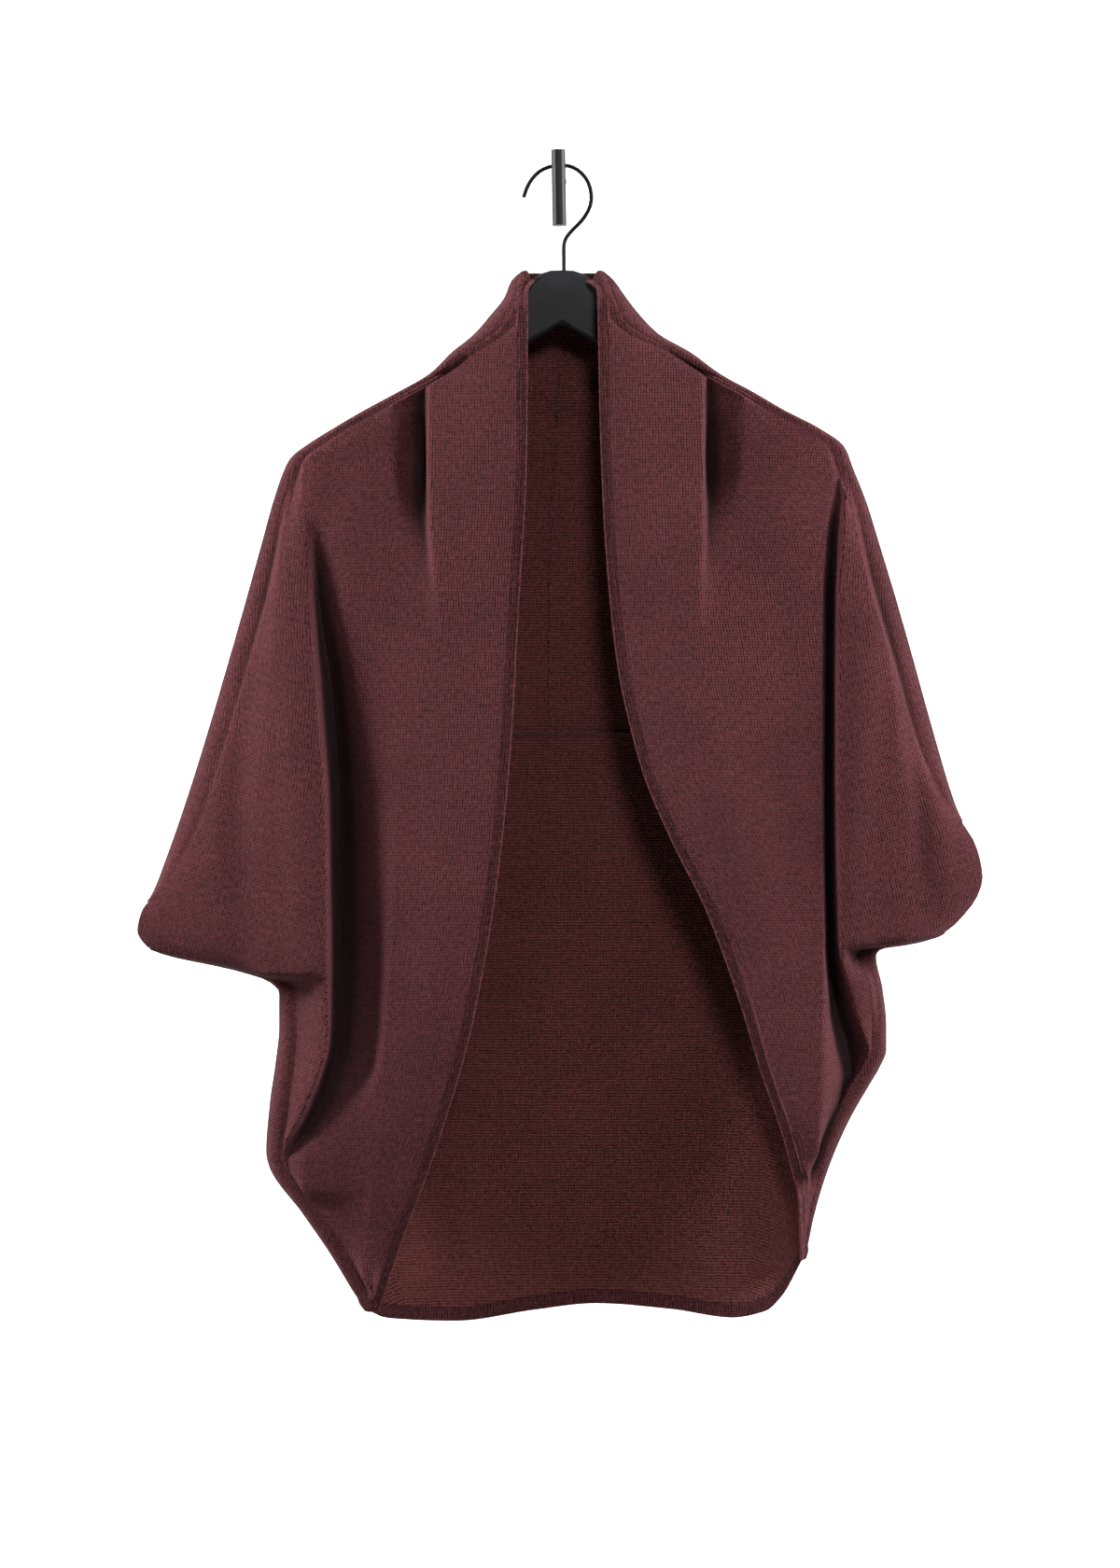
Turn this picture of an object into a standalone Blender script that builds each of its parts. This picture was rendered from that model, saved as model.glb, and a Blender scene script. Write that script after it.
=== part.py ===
"""A knitted cocoon bolero hanging on a plain black hanger from a wall hook.

Frame: +Z up, +X to the right as seen from the front, the wall is the plane Y = 0 and the front faces -Y.
The origin is the centre of the wall hook's back face. Tables are in millimetres: `out` is the distance
sideways from the middle, `drop` the distance below the origin, `depth` the distance in front of the
hanger's middle plane (behind it when negative).
"""

import math

import bpy
import numpy as np
from mathutils import Vector

MM = 0.001
HANGER_Y = -55.0
WALL = 2.0
SEAM_GAP = 0.5
RIB = 6.5
HEM = 10.0
LEAST_CELL = 2.2
BACK_CROWDING = 1.3
NARROW = 24.0
LINE_GAP = 1.2
SLIM = 4.0

# ---------------------------------------------------------------- the cloth's lines, a row for each
# Each line runs down a front. A row holds its places as (drop, out) and its depths as (drop, depth).
# edge: the open front edge. roll: outer fold of the collar. pocket, pocket_end: the dark pleat beside it.
# wall_top, valley, crest: the long side pleat. ridge: the soft ridge down the sleeve.
FRONT_LINES = {
    -1: {
        "edge": (
            [(77, 20), (84, 24), (95, 25), (220, 26), (333, 32), (425, 37), (476, 41), (554, 50),
             (654, 68), (740, 93), (825, 124), (871, 139)],
            [(77, 14), (95, 26), (151, 32), (333, 33), (611, 34), (711, 28), (811, 16), (871, 5)],
        ),
        "roll": (
            [(150, 98), (226, 98), (268, 96), (333, 89), (400, 87), (520, 92), (654, 108), (754, 130),
             (825, 144)],
            [(140, 23), (152, 24), (165, 27), (190, 31), (240, 34), (300, 37), (368, 38), (611, 38),
             (711, 31), (811, 17)],
        ),
        "pocket": (
            [(150, 103), (226, 103), (268, 103), (333, 98), (400, 97), (520, 104), (654, 118), (754, 138),
             (825, 147)],
            [(150, 10), (190, 8.5), (226, 3), (245, 10), (285, 26), (330, 35), (400, 38), (611, 38),
             (711, 31), (811, 17)],
        ),
        "pocket_end": (
            [(150, 127), (226, 127), (268, 124), (333, 118), (400, 116), (520, 122), (654, 130),
             (754, 146), (825, 150)],
            [(150, 9.5), (190, 15), (226, 18), (285, 27), (333, 32), (400, 36), (611, 37), (711, 30),
             (811, 16)],
        ),
        "wall_top": (
            [(200, 176), (280, 166), (333, 160), (368, 155), (440, 146), (583, 141), (680, 143),
             (711, 163), (754, 196)],
            [(200, 11), (240, 18), (297, 27), (333, 28), (404, 27), (476, 24), (611, 21), (680, 22),
             (754, 20), (811, 14)],
        ),
        "valley": (
            [(200, 190), (280, 186), (333, 183), (404, 175), (476, 171), (620, 170), (660, 172),
             (711, 184), (754, 209)],
            [(200, 10), (268, 22), (333, 14), (404, -8), (500, -18), (590, -16), (632, -9),
             (711, 1), (754, 12), (811, 12)],
        ),
        "crest": (
            [(200, 196), (276, 194), (404, 185), (490, 178), (656, 176), (713, 193), (751, 216)],
            [(200, 9), (276, 24), (333, 29), (404, 33), (476, 35), (600, 37), (654, 34), (711, 27),
             (754, 16), (811, 11)],
        ),
        "ridge": (
            [(200, 205), (228, 208), (440, 218), (627, 219)],
            [(200, 9), (240, 14), (268, 18), (333, 25), (476, 31), (600, 34), (626, 30), (640, 17),
             (711, 19), (754, 10)],
        ),
    },
    1: {
        "edge": (
            [(77, 21), (84, 28), (95, 29), (190, 31), (268, 34), (333, 39), (383, 45), (425, 54),
             (461, 64), (511, 85), (561, 110), (625, 134), (683, 152), (747, 173), (790, 182),
             (831, 184)],
            [(77, 14), (95, 26), (151, 32), (333, 34), (540, 38), (611, 36), (711, 32), (783, 23),
             (811, 18), (831, 13)],
        ),
        "roll": (
            [(150, 107), (226, 107), (268, 106), (333, 102), (404, 104), (476, 112), (561, 130),
             (625, 146), (683, 160), (747, 178)],
            [(140, 23), (152, 24), (165, 27), (190, 31), (240, 34), (300, 36), (404, 37), (611, 39),
             (711, 36), (783, 24)],
        ),
        "pocket": (
            [(150, 112), (226, 112), (268, 113), (333, 111), (404, 114), (476, 122), (561, 139),
             (625, 153), (683, 165), (747, 180)],
            [(150, 10), (190, 8.5), (222, 3), (245, 12), (285, 27), (330, 34), (404, 37), (611, 39),
             (711, 36), (783, 24)],
        ),
        "pocket_end": (
            [(150, 140), (226, 140), (268, 138), (333, 135), (404, 137), (476, 144), (561, 157),
             (625, 165), (683, 173), (747, 184)],
            [(150, 9.5), (190, 15), (226, 18), (285, 26), (330, 31), (404, 35), (611, 38), (711, 36),
             (783, 25)],
        ),
        "wall_top": (
            [(200, 205), (242, 206), (276, 201), (333, 198), (476, 197.5), (609, 199), (656, 197),
             (727, 196), (804, 190)],
            [(200, 10), (242, 15), (290, 22), (333, 26), (476, 31), (611, 35), (660, 37), (740, 31),
             (804, 14)],
        ),
        "valley": (
            [(200, 208), (242, 212), (276, 208), (333, 205), (476, 204), (597, 206), (640, 213),
             (683, 224), (720, 218), (804, 193)],
            [(200, 9.5), (250, 12), (285, 6), (333, -5), (476, -10), (611, -11), (660, -8), (711, -5),
             (783, 2)],
        ),
        "crest": (
            [(200, 210), (242, 218), (276, 215), (333, 212), (440, 211), (597, 213), (625, 220),
             (661, 232), (683, 242)],
            [(200, 9.5), (250, 17), (285, 23), (333, 28), (476, 32), (590, 33), (615, 26), (661, 16),
             (690, 4)],
        ),
        "ridge": (
            [(200, 214), (240, 221), (297, 231), (397, 252), (511, 260), (583, 262), (600, 234),
             (640, 239), (672, 245)],
            [(200, 9), (240, 14), (297, 20), (404, 28), (511, 32), (583, 29), (600, 22), (640, 16),
             (690, 4)],
        ),
    },
}
# The silhouette, where a front turns round to the back: (drop, out), then the turn's middle depth and
# its half sizes, (drop, depth), (drop, half depth), (drop, half width).
SIDE_LINES = {
    -1: (
        [(77, 29), (83, 36), (97, 42), (111, 53), (126, 66), (140, 83), (154, 97), (169, 123),
         (183, 149), (197, 173), (211, 195), (219, 205), (228, 210), (254, 219), (283, 227), (326, 239),
         (368, 251), (426, 268), (483, 286), (526, 301), (554, 312), (566, 320), (580, 323), (592, 316),
         (598, 302), (611, 245), (619, 222), (628, 214), (654, 214), (683, 217), (711, 221), (750, 224),
         (760, 222), (797, 196), (826, 176), (854, 159), (871, 149)],
        [(77, -2), (115, 0), (150, 3.5), (163, 0), (226, 0), (404, -2), (540, -4), (611, -2), (871, 0)],
        [(77, 8), (95, 20), (115, 25), (135, 23), (152, 18), (163, 9), (226, 9), (333, 11), (520, 17),
         (580, 20), (606, 15), (640, 15), (711, 17), (754, 13), (811, 9), (871, 4)],
        [(77, 3), (95, 9), (115, 15), (133, 12), (151, 6), (169, 5), (226, 7), (333, 15), (490, 16),
         (543, 8), (558, 2), (598, 2), (606, 6), (640, 8), (711, 10), (754, 8), (811, 6), (871, 3)],
    ),
    1: (
        [(77, 33), (83, 40), (97, 50), (111, 61), (126, 76), (140, 100), (154, 119), (169, 147),
         (183, 171), (197, 198), (211, 217), (226, 223), (254, 234), (283, 243), (326, 256), (368, 268),
         (426, 284), (483, 301), (497, 307), (511, 316), (526, 321), (540, 323), (554, 319), (568, 309),
         (583, 292), (590, 270), (594, 245), (600, 241), (625, 246), (654, 249), (672, 249), (685, 244),
         (697, 237), (725, 221), (754, 208), (783, 198), (811, 191), (831, 188)],
        [(77, -2), (115, 0), (150, 3.5), (163, 0), (226, 0), (511, 1), (611, -2), (700, -4), (831, -2)],
        [(77, 8), (95, 20), (115, 25), (135, 23), (152, 18), (163, 9), (226, 9), (333, 11), (497, 15),
         (540, 17), (583, 14), (600, 13), (640, 14), (711, 13), (783, 10), (811, 8), (831, 6)],
        [(77, 3), (95, 9), (115, 15), (133, 12), (151, 6), (169, 5), (226, 7), (333, 15), (430, 15),
         (483, 7), (497, 2), (583, 2), (590, 5), (640, 6), (711, 8), (783, 5), (831, 2)],
    ),
}
# The back, as depths down three lines: at a share of the way from the side turn to the centre seam.
BACK_LINES = {
    -1: {
        0.22: [(77, -11), (110, -22), (151, -14), (226, -12), (333, -21), (476, -19), (640, -21),
               (754, -16), (871, -8)],
        0.48: [(77, -12), (110, -27), (151, -20), (190, -15), (240, -20), (333, -34), (476, -41),
               (640, -39), (754, -30), (871, -14)],
    },
    1: {
        0.24: [(77, -11), (110, -22), (151, -14), (226, -12), (333, -19), (476, -17), (640, -19),
               (754, -15), (871, -9)],
        0.52: [(77, -12), (110, -27), (151, -20), (190, -15), (240, -21), (333, -36), (476, -39),
               (640, -36), (754, -27), (871, -15)],
    },
}
CENTRE_DEPTH = [(76, -12), (98, -23), (120, -31), (150, -32), (167, -21), (190, -27), (268, -31),
                (429, -33), (640, -33), (800, -26), (880, -17)]
CENTRE_OUT = [(76, 1), (170, -2), (268, -8), (368, -9), (429, -7), (880, -7)]
BACK_SEAM_DROP = 429
CUFF_SPAN = {-1: (548, 594), 1: (487, 582)}
HEM_DROP = [(-150, 871), (-130, 877), (-79, 880), (-20, 872), (28, 867), (85, 871), (132, 877),
            (157, 872), (170, 860), (179, 845), (187, 831)]

# Rows of cloth cells: the drop of each key row at the left and right side, and the rows up to it.
ROW_KEYS = [  # name, left, right, rows
    ("neckline", 77, 77, 0),
    ("neck_rib", 83.5, 83.5, 1),
    ("collar", 110, 110, 3),
    ("pleat_start", 150, 150, 3),
    ("pleat", 163, 163, 1),
    ("hanger_end", 226, 226, 4),
    ("cuff_seam_top", 548, 487, 9),
    ("cuff_top", 558, 497, 1),
    ("cuff_bottom", 594, 582, 3),
    ("underarm", 632, 604, 4),
    ("side_corner", 754, 690, 5),
    ("hem_seam", 861, 821, 5),
    ("hem", 871, 831, 1),
]
# Columns of cloth cells between one line and the next.
COLUMNS = [("rib", 1), ("roll", 3), ("pocket", 2), ("pocket_end", 2), ("wall_top", 2), ("valley", 2),
           ("crest", 1), ("ridge", 2), ("cuff_seam", 2), ("front_turn", 1), ("side", 2), ("back_turn", 2),
           ("back_cuff_seam", 1), ("centre", 7)]

# ---------------------------------------------------------------- hanger and hooks
HANGER_THICK = 14.4
HANGER_MIDDLE = 1.4
HANGER_TOP = [(0, 75.7), (9, 76), (15, 78), (20, 81.5), (26, 87), (32, 96), (40, 107), (54, 120),
              (71, 135), (99, 160), (125, 174.5), (150, 188.5), (174, 202.5), (190, 212.5), (198, 219)]
HANGER_UNDER = [(0, 117), (26, 132), (99, 177), (150, 207), (190, 229), (198, 230)]
WIRE_RADIUS = 1.55
WIRE_PATH = [(3, -77), (3, -66), (3, -56), (5, -50), (10, -44), (16, -38), (21.5, -30), (24, -21.5),
             (23, -12), (19.5, -4.5), (13.5, 1.5), (6.5, 4.6), (-0.5, 4.85), (-8, 3.9), (-15.5, 0.5),
             (-21.5, -5.5), (-25.5, -12.5), (-27.8, -19.5)]
STEM_RADIUS = 3.0
BAR_RADIUS = 5.35
BAR_TOP, BAR_BOTTOM = 15.7, -42.1
BAR_OUT = -1.0
FLANGE_RADIUS, FLANGE_THICK = 5.0, 4.0

WINE = (0.075, 0.021, 0.024)
WINE_RIB = (0.083, 0.022, 0.026)
BLACK_WOOD = (0.012, 0.012, 0.014)
BLACK_METAL = (0.008, 0.008, 0.009)


def smooth_read(table, at):
    """Reads a table of (place, value) by a monotone cubic, level past its ends."""
    xs = np.array([row[0] for row in table], float)
    ys = np.array([row[1] for row in table], float)
    at = float(np.clip(at, xs[0], xs[-1]))
    step = np.diff(xs)
    slope = np.diff(ys) / step
    tangent = np.zeros(len(xs))
    for k in range(1, len(xs) - 1):
        if slope[k - 1] * slope[k] > 0:
            tangent[k] = 2 * slope[k - 1] * slope[k] / (slope[k - 1] + slope[k])
    tangent[0], tangent[-1] = slope[0], slope[-1]
    k = int(min(np.searchsorted(xs, at, side="right") - 1, len(xs) - 2))
    t = (at - xs[k]) / step[k]
    return float(
        (1 + 2 * t) * (1 - t) ** 2 * ys[k]
        + t * (1 - t) ** 2 * step[k] * tangent[k]
        + t * t * (3 - 2 * t) * ys[k + 1]
        + t * t * (t - 1) * step[k] * tangent[k + 1]
    )


def ease(t):
    t = min(max(t, 0.0), 1.0)
    return t * t * (3 - 2 * t)


def blend(first, second, share):
    return tuple(a + (b - a) * share for a, b in zip(first, second))


def place(x, drop, depth):
    return np.array([x, HANGER_Y - depth, -drop]) * MM


def front_controls(side, drop):
    """The section of one front at this drop: (out, depth) at each line, from the edge to the turn."""
    silhouette, middle, half_depth, half_width = (smooth_read(t, drop) for t in SIDE_LINES[side])
    turn = (silhouette - half_width, middle + half_depth)
    lines = FRONT_LINES[side]
    edge = [smooth_read(table, drop) for table in lines["edge"]]
    width = turn[0] - edge[0]
    narrow = ease((NARROW - width) / (0.5 * NARROW))
    share = min(RIB / math.dist(edge, turn), 0.45)
    aside = (edge[0] + RIB, edge[1] + 0.6)
    controls = [tuple(edge), blend(aside, blend(edge, turn, share), narrow)]
    names = list(lines)[1:]
    top, bottom = CUFF_SPAN[side]
    by_cuff = ease((drop - top + 40) / 30) * ease((bottom + 40 - drop) / 30)
    seam_width = SLIM + (HEM - SLIM) * by_cuff
    cuff_seam = turn[0] - min(seam_width, 0.25 * (turn[0] - controls[1][0]))
    gap = min(LINE_GAP, (cuff_seam - controls[1][0]) / (len(names) + 1))
    for k, name in enumerate(names):
        out, depth = (smooth_read(table, drop) for table in lines[name])
        limit = cuff_seam - gap * (len(names) - k)
        pushed = ease((out - limit) / 9.0)
        out = max(min(out, limit), controls[-1][0] + gap)
        even = blend(edge, turn, share + (1 - share) * (k + 1) / (len(names) + 2))
        controls.append(blend((out, depth + (turn[1] - depth) * pushed), even, narrow))
    before = controls[-1]
    way = (cuff_seam - before[0]) / (turn[0] - before[0])
    bent = (cuff_seam, before[1] + (turn[1] - before[1]) * way * way)
    controls.append(blend(bent, blend(before, turn, 0.5), narrow))
    controls.append(turn)
    return controls


def back_drop(pick, j, share, x):
    """The drop of row j of the back, at this share of the way from the side turn to the centre."""
    level = ROWS[j][pick]
    keys = ("neckline", "underarm", "hem_seam", "hem")
    neck, underarm, hem_seam, hem = (ROWS[ROW[name]][pick] for name in keys)
    seam = underarm + (BACK_SEAM_DROP - underarm) * ease(share / 0.6)
    bottom = smooth_read(HEM_DROP, x)
    if j <= ROW["underarm"]:
        drop = neck + (seam - neck) * (level - neck) / (underarm - neck)
    elif j <= ROW["hem_seam"]:
        drop = seam + (bottom - HEM - seam) * (level - underarm) / (hem_seam - underarm)
    else:
        drop = bottom - HEM * (hem - level) / (hem - hem_seam)
    return drop


def row_levels():
    """The rows' drops at both sides, as (left, right), and each key row's number."""
    rows, numbers = [], {}
    for name, left, right, count in ROW_KEYS:
        if count:
            start = rows[-1]
            for k in range(1, count + 1):
                rows.append(blend(start, (left, right), k / count))
        else:
            rows.append((left, right))
        numbers[name] = len(rows) - 1
    return rows, numbers


def column_numbers():
    numbers, total = {"edge": 0}, 0
    for name, count in COLUMNS:
        total += count
        numbers[name] = total
    return numbers, total


ROWS, ROW = row_levels()
COLUMN, LAST_COLUMN = column_numbers()


def side_points(side):
    """The middle surface of one half, as points[row][column] from the front edge to the centre seam."""
    pick = 0 if side < 0 else 1
    grid = np.zeros((len(ROWS), LAST_COLUMN + 1, 3))
    for j, levels in enumerate(ROWS):
        level = levels[pick]
        controls = front_controls(side, level)
        keys = [0] + [COLUMN[name] for name in list(COLUMN)[1:11]]
        outs = [(key, control[0]) for key, control in zip(keys, controls)]
        depths = [(key, control[1]) for key, control in zip(keys, controls)]
        tilt = 8.0 * (1 - ease((level - 77) / 35))
        for i in range(COLUMN["front_turn"] + 1):
            lean = tilt * (1 - ease(i / COLUMN["front_turn"]))
            x = side * smooth_read(outs, i)
            grid[j, i] = place(x, level + lean, smooth_read(depths, i))
        turn_sizes = (smooth_read(table, level) for table in SIDE_LINES[side])
        silhouette, middle, half_depth, half_width = turn_sizes
        turn_columns = COLUMN["back_turn"] - COLUMN["front_turn"]
        for k in range(1, turn_columns + 1):
            angle = np.pi * k / turn_columns
            x = side * (silhouette - half_width + half_width * np.sin(angle))
            grid[j, COLUMN["front_turn"] + k] = place(x, level, middle + half_depth * np.cos(angle))
        start_out = silhouette - half_width
        start_depth = middle - half_depth
        seam_share = min(HEM / max(start_out, HEM * 2), 0.3)
        for i in range(COLUMN["back_turn"] + 1, LAST_COLUMN + 1):
            past = (i - COLUMN["back_cuff_seam"]) / (LAST_COLUMN - COLUMN["back_cuff_seam"])
            share = seam_share + (1 - seam_share) * past ** BACK_CROWDING
            centre = smooth_read(CENTRE_OUT, 76 + (level - 77) * 0.6)
            x = side * start_out + (centre - side * start_out) * share
            drop = back_drop(pick, j, share, x)
            profile = [(0.0, start_depth)]
            profile += [(at, smooth_read(table, drop)) for at, table in BACK_LINES[side].items()]
            profile += [(1.0, smooth_read(CENTRE_DEPTH, drop))]
            grid[j, i] = place(x, drop, smooth_read(profile, share))
    return grid


def whole_cloth():
    """One middle surface: its points, and its cells as (corner numbers, piece name)."""
    points, cells = [], []
    index = {}
    always = ("edge", "rib", "front_turn", "side", "back_turn", "centre")
    for side in (-1, 1):
        grid = side_points(side)
        for j in range(len(ROWS)):
            last = None
            by_cuff = ROW["cuff_seam_top"] <= j <= ROW["cuff_bottom"]
            names = always + (("cuff_seam", "back_cuff_seam") if by_cuff else ())
            kept = {COLUMN[name] for name in names}
            for i in range(LAST_COLUMN + 1):
                if i == LAST_COLUMN and side > 0:
                    index[side, j, i] = index[-1, j, i]
                    continue
                near = last is not None and np.linalg.norm(grid[j, i] - points[last]) < LEAST_CELL * MM
                ahead = [c for c in sorted(kept) if c >= i][0]
                close_ahead = np.linalg.norm(grid[j, i] - grid[j, ahead]) < LEAST_CELL * MM
                if i not in kept and (near or close_ahead) and last is not None:
                    index[side, j, i] = last
                    continue
                points.append(grid[j, i])
                last = len(points) - 1
                index[side, j, i] = last
    for side, label in ((-1, "left"), (1, "right")):
        for j in range(len(ROWS) - 1):
            for i in range(LAST_COLUMN):
                piece = piece_of(label, j, i)
                if piece is None:
                    continue
                corners = [index[side, j, i], index[side, j + 1, i], index[side, j + 1, i + 1],
                           index[side, j, i + 1]]
                ring = [c for k, c in enumerate(corners) if c != corners[k - 1]]
                if len(set(ring)) < 3:
                    continue
                cells.append((ring if side < 0 else ring[::-1], piece))
    return np.array(points), cells


def piece_of(label, j, i):
    """The sewn piece that a cell belongs to, or None in a cuff's opening."""
    in_turn = COLUMN["front_turn"] <= i < COLUMN["back_turn"]
    if in_turn and ROW["cuff_top"] <= j < ROW["cuff_bottom"]:
        return None
    round_turn = COLUMN["cuff_seam"] <= i < COLUMN["back_cuff_seam"]
    if round_turn and ROW["cuff_seam_top"] <= j < ROW["cuff_bottom"]:
        return "cuff_" + label
    if i < COLUMN["rib"]:
        return "front_band_" + label
    if j < ROW["neck_rib"]:
        return "neck_band"
    if j >= ROW["hem_seam"]:
        return "hem_band"
    if j >= ROW["underarm"] and i >= COLUMN["back_turn"]:
        return "lower_back"
    return "upper_" + label + ("_front" if i < COLUMN["side"] else "_back")


def point_normals(points, cells):
    normals = np.zeros_like(points)
    for corners, _ in cells:
        for k in range(1, len(corners) - 1):
            a, b, c = (points[corners[n]] for n in (0, k, k + 1))
            for n in (0, k, k + 1):
                normals[corners[n]] += np.cross(b - a, c - a)
    return normals / np.maximum(np.linalg.norm(normals, axis=1), 1e-12)[:, None]


def cloth_piece(name, points, normals, cells, colour):
    """A wall of cloth over this piece's cells, drawn in from its seams by half the gap."""
    own = [corners for corners, piece in cells if piece == name]
    edges = {}
    for corners in own:
        for k, start in enumerate(corners):
            end = corners[(k + 1) % len(corners)]
            edges[start, end] = corners
    border = [(edge, face) for edge, face in edges.items() if edge[::-1] not in edges]
    inward = {}
    for (start, end), face in border:
        along = points[end] - points[start]
        across = np.cross(normals[start] + normals[end], along)
        across /= np.linalg.norm(across)
        for corner in (start, end):
            inward.setdefault(corner, []).append(across)
    moved = {}
    for corner, directions in inward.items():
        total = sum(directions)
        length = max(np.linalg.norm(total), 0.8)
        scale = min(2.6, len(directions) / length)
        moved[corner] = points[corner] + total / length * SEAM_GAP / 2 * scale * MM
    used = sorted({corner for corners in own for corner in corners})
    number = {corner: k for k, corner in enumerate(used)}
    middle = np.array([moved.get(corner, points[corner]) for corner in used])
    thick = normals[used] * WALL / 2 * MM
    vertices = np.concatenate([middle + thick, middle - thick])
    count = len(used)
    faces = [[number[c] for c in corners] for corners in own]
    faces += [[number[c] + count for c in reversed(corners)] for corners in own]
    for (start, end), _ in border:
        a, b = number[start], number[end]
        faces.append([b, a, a + count, b + count])
    triangles = [[f[0], f[k], f[k + 1]] for f in faces for k in range(1, len(f) - 1)]
    return add_mesh(name, vertices, triangles, colour, 0.95, 0.0)


def material(name, colour, roughness, metallic):
    made = bpy.data.materials.new(name)
    made.use_nodes = True
    shader = made.node_tree.nodes["Principled BSDF"]
    shader.inputs["Base Color"].default_value = (*colour, 1)
    shader.inputs["Roughness"].default_value = roughness
    shader.inputs["Metallic"].default_value = metallic
    made.diffuse_color = (*colour, 1)
    return made


def add_mesh(name, vertices, faces, colour, roughness, metallic):
    mesh = bpy.data.meshes.new(name)
    mesh.from_pydata([tuple(v) for v in vertices], [], faces)
    mesh.validate()
    mesh.shade_smooth()
    made = bpy.data.objects.new(name, mesh)
    bpy.context.scene.collection.objects.link(made)
    made.data.materials.append(material(name, colour, roughness, metallic))
    return made


def hanger_body():
    """The flat wooden body: its outline in the hanger's plane, given thickness, with rounded edges."""
    top = HANGER_TOP[1:]
    under = HANGER_UNDER[1:]
    outline = [(-x, z) for x, z in reversed(top)] + [HANGER_TOP[0]] + top
    outline += list(reversed(under)) + [HANGER_UNDER[0]] + [(-x, z) for x, z in under]
    half = HANGER_THICK / 2
    count = len(outline)
    vertices = [place(x + HANGER_MIDDLE, z, depth) for depth in (half, -half) for x, z in outline]
    faces = [list(range(count))[::-1], list(range(count, 2 * count))]
    faces += [[k, (k + 1) % count, (k + 1) % count + count, k + count] for k in range(count)]
    body = add_mesh("hanger_body", vertices, faces, BLACK_WOOD, 0.6, 0.0)
    bevel = body.modifiers.new("rounded_edges", "BEVEL")
    bevel.width = 3.0 * MM
    bevel.segments = 3
    bevel.limit_method = "ANGLE"
    bevel.angle_limit = 1.0
    return body


def hanger_hook():
    """The wire: up out of the body, round over the wall hook's stem and down to its cut end."""
    ends = np.array([(x * MM, HANGER_Y * MM, z * MM) for x, z in WIRE_PATH])
    path = []
    for k in range(len(ends) - 1):
        before, after = ends[max(k - 1, 0)], ends[min(k + 2, len(ends) - 1)]
        for t in (0.0, 0.5):
            a, b = ends[k], ends[k + 1]
            path.append(0.5 * (2 * a + (b - before) * t + (2 * before - 5 * a + 4 * b - after) * t * t
                               + (3 * a - before - 3 * b + after) * t ** 3))
    path.append(ends[-1])
    path[0][2] = -(HANGER_TOP[0][1] - 0.3) * MM
    curve = bpy.data.curves.new("hanger_hook", "CURVE")
    curve.dimensions = "3D"
    curve.bevel_depth = WIRE_RADIUS * MM
    curve.bevel_resolution = 2
    curve.use_fill_caps = True
    spline = curve.splines.new("POLY")
    spline.points.add(len(path) - 1)
    for point, co in zip(spline.points, path):
        point.co = (*co, 1)
    made = bpy.data.objects.new("hanger_hook", curve)
    bpy.context.scene.collection.objects.link(made)
    curve.materials.append(material("hanger_hook", BLACK_METAL, 0.4, 1.0))
    return made


def round_bar(name, radius, start, end, sides):
    """A closed cylinder between two points, in millimetres."""
    start, end = Vector(start), Vector(end)
    axis = (end - start).normalized()
    across = axis.orthogonal().normalized()
    other = axis.cross(across)
    vertices = []
    for centre in (start, end):
        for k in range(sides):
            angle = 2 * math.pi * (k + 0.5) / sides
            way = math.cos(angle) * across + math.sin(angle) * other
            vertices.append((centre + radius * way) * MM)
    faces = [list(range(sides))[::-1], list(range(sides, 2 * sides))]
    faces += [[k, (k + 1) % sides, (k + 1) % sides + sides, k + sides] for k in range(sides)]
    return add_mesh(name, vertices, faces, BLACK_METAL, 0.35, 1.0)


def wall_hook():
    """The upright bar, its stem to the wall and the small flange at the wall, joined in one piece."""
    bar_y = HANGER_Y - WIRE_RADIUS - 0.6 - BAR_RADIUS
    top, bottom = (BAR_OUT - 0.4, bar_y, BAR_TOP), (BAR_OUT + 0.6, bar_y, BAR_BOTTOM)
    bar = round_bar("wall_hook", BAR_RADIUS, top, bottom, 32)
    stem = round_bar("stem_guide", STEM_RADIUS, (0, -1.0, 0), (0, bar_y, 0), 24)
    flange = round_bar("flange_guide", FLANGE_RADIUS, (0, 0, 0), (0, -FLANGE_THICK, 0), 32)
    for tool in (stem, flange):
        tool.hide_render = True
        tool.display_type = "WIRE"
        join = bar.modifiers.new(tool.name, "BOOLEAN")
        join.operation = "UNION"
        join.object = tool
    return bar


def build():
    for old in list(bpy.data.objects):
        bpy.data.objects.remove(old)
    points, cells = whole_cloth()
    normals = point_normals(points, cells)
    for label in ("left", "right"):
        cloth_piece("upper_" + label + "_front", points, normals, cells, WINE)
        cloth_piece("upper_" + label + "_back", points, normals, cells, WINE)
        cloth_piece("cuff_" + label, points, normals, cells, WINE_RIB)
        cloth_piece("front_band_" + label, points, normals, cells, WINE_RIB)
    cloth_piece("lower_back", points, normals, cells, WINE)
    cloth_piece("neck_band", points, normals, cells, WINE_RIB)
    cloth_piece("hem_band", points, normals, cells, WINE_RIB)
    hanger_body()
    hanger_hook()
    wall_hook()


build()
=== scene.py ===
"""The looks of a knitted cocoon bolero on its hanger: fine cloth shells, seams, knit, wood and metal.

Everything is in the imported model's frame: metres, +Z up, the wall is Y = 0 and the front faces -Y. The
tables are in millimetres: `out` is the distance sideways from the middle, `drop` the distance below the
origin, `depth` the distance in front of the hanger's middle plane (behind it when negative).
"""

import math

import bpy
import numpy as np
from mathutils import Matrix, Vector, noise


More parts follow.
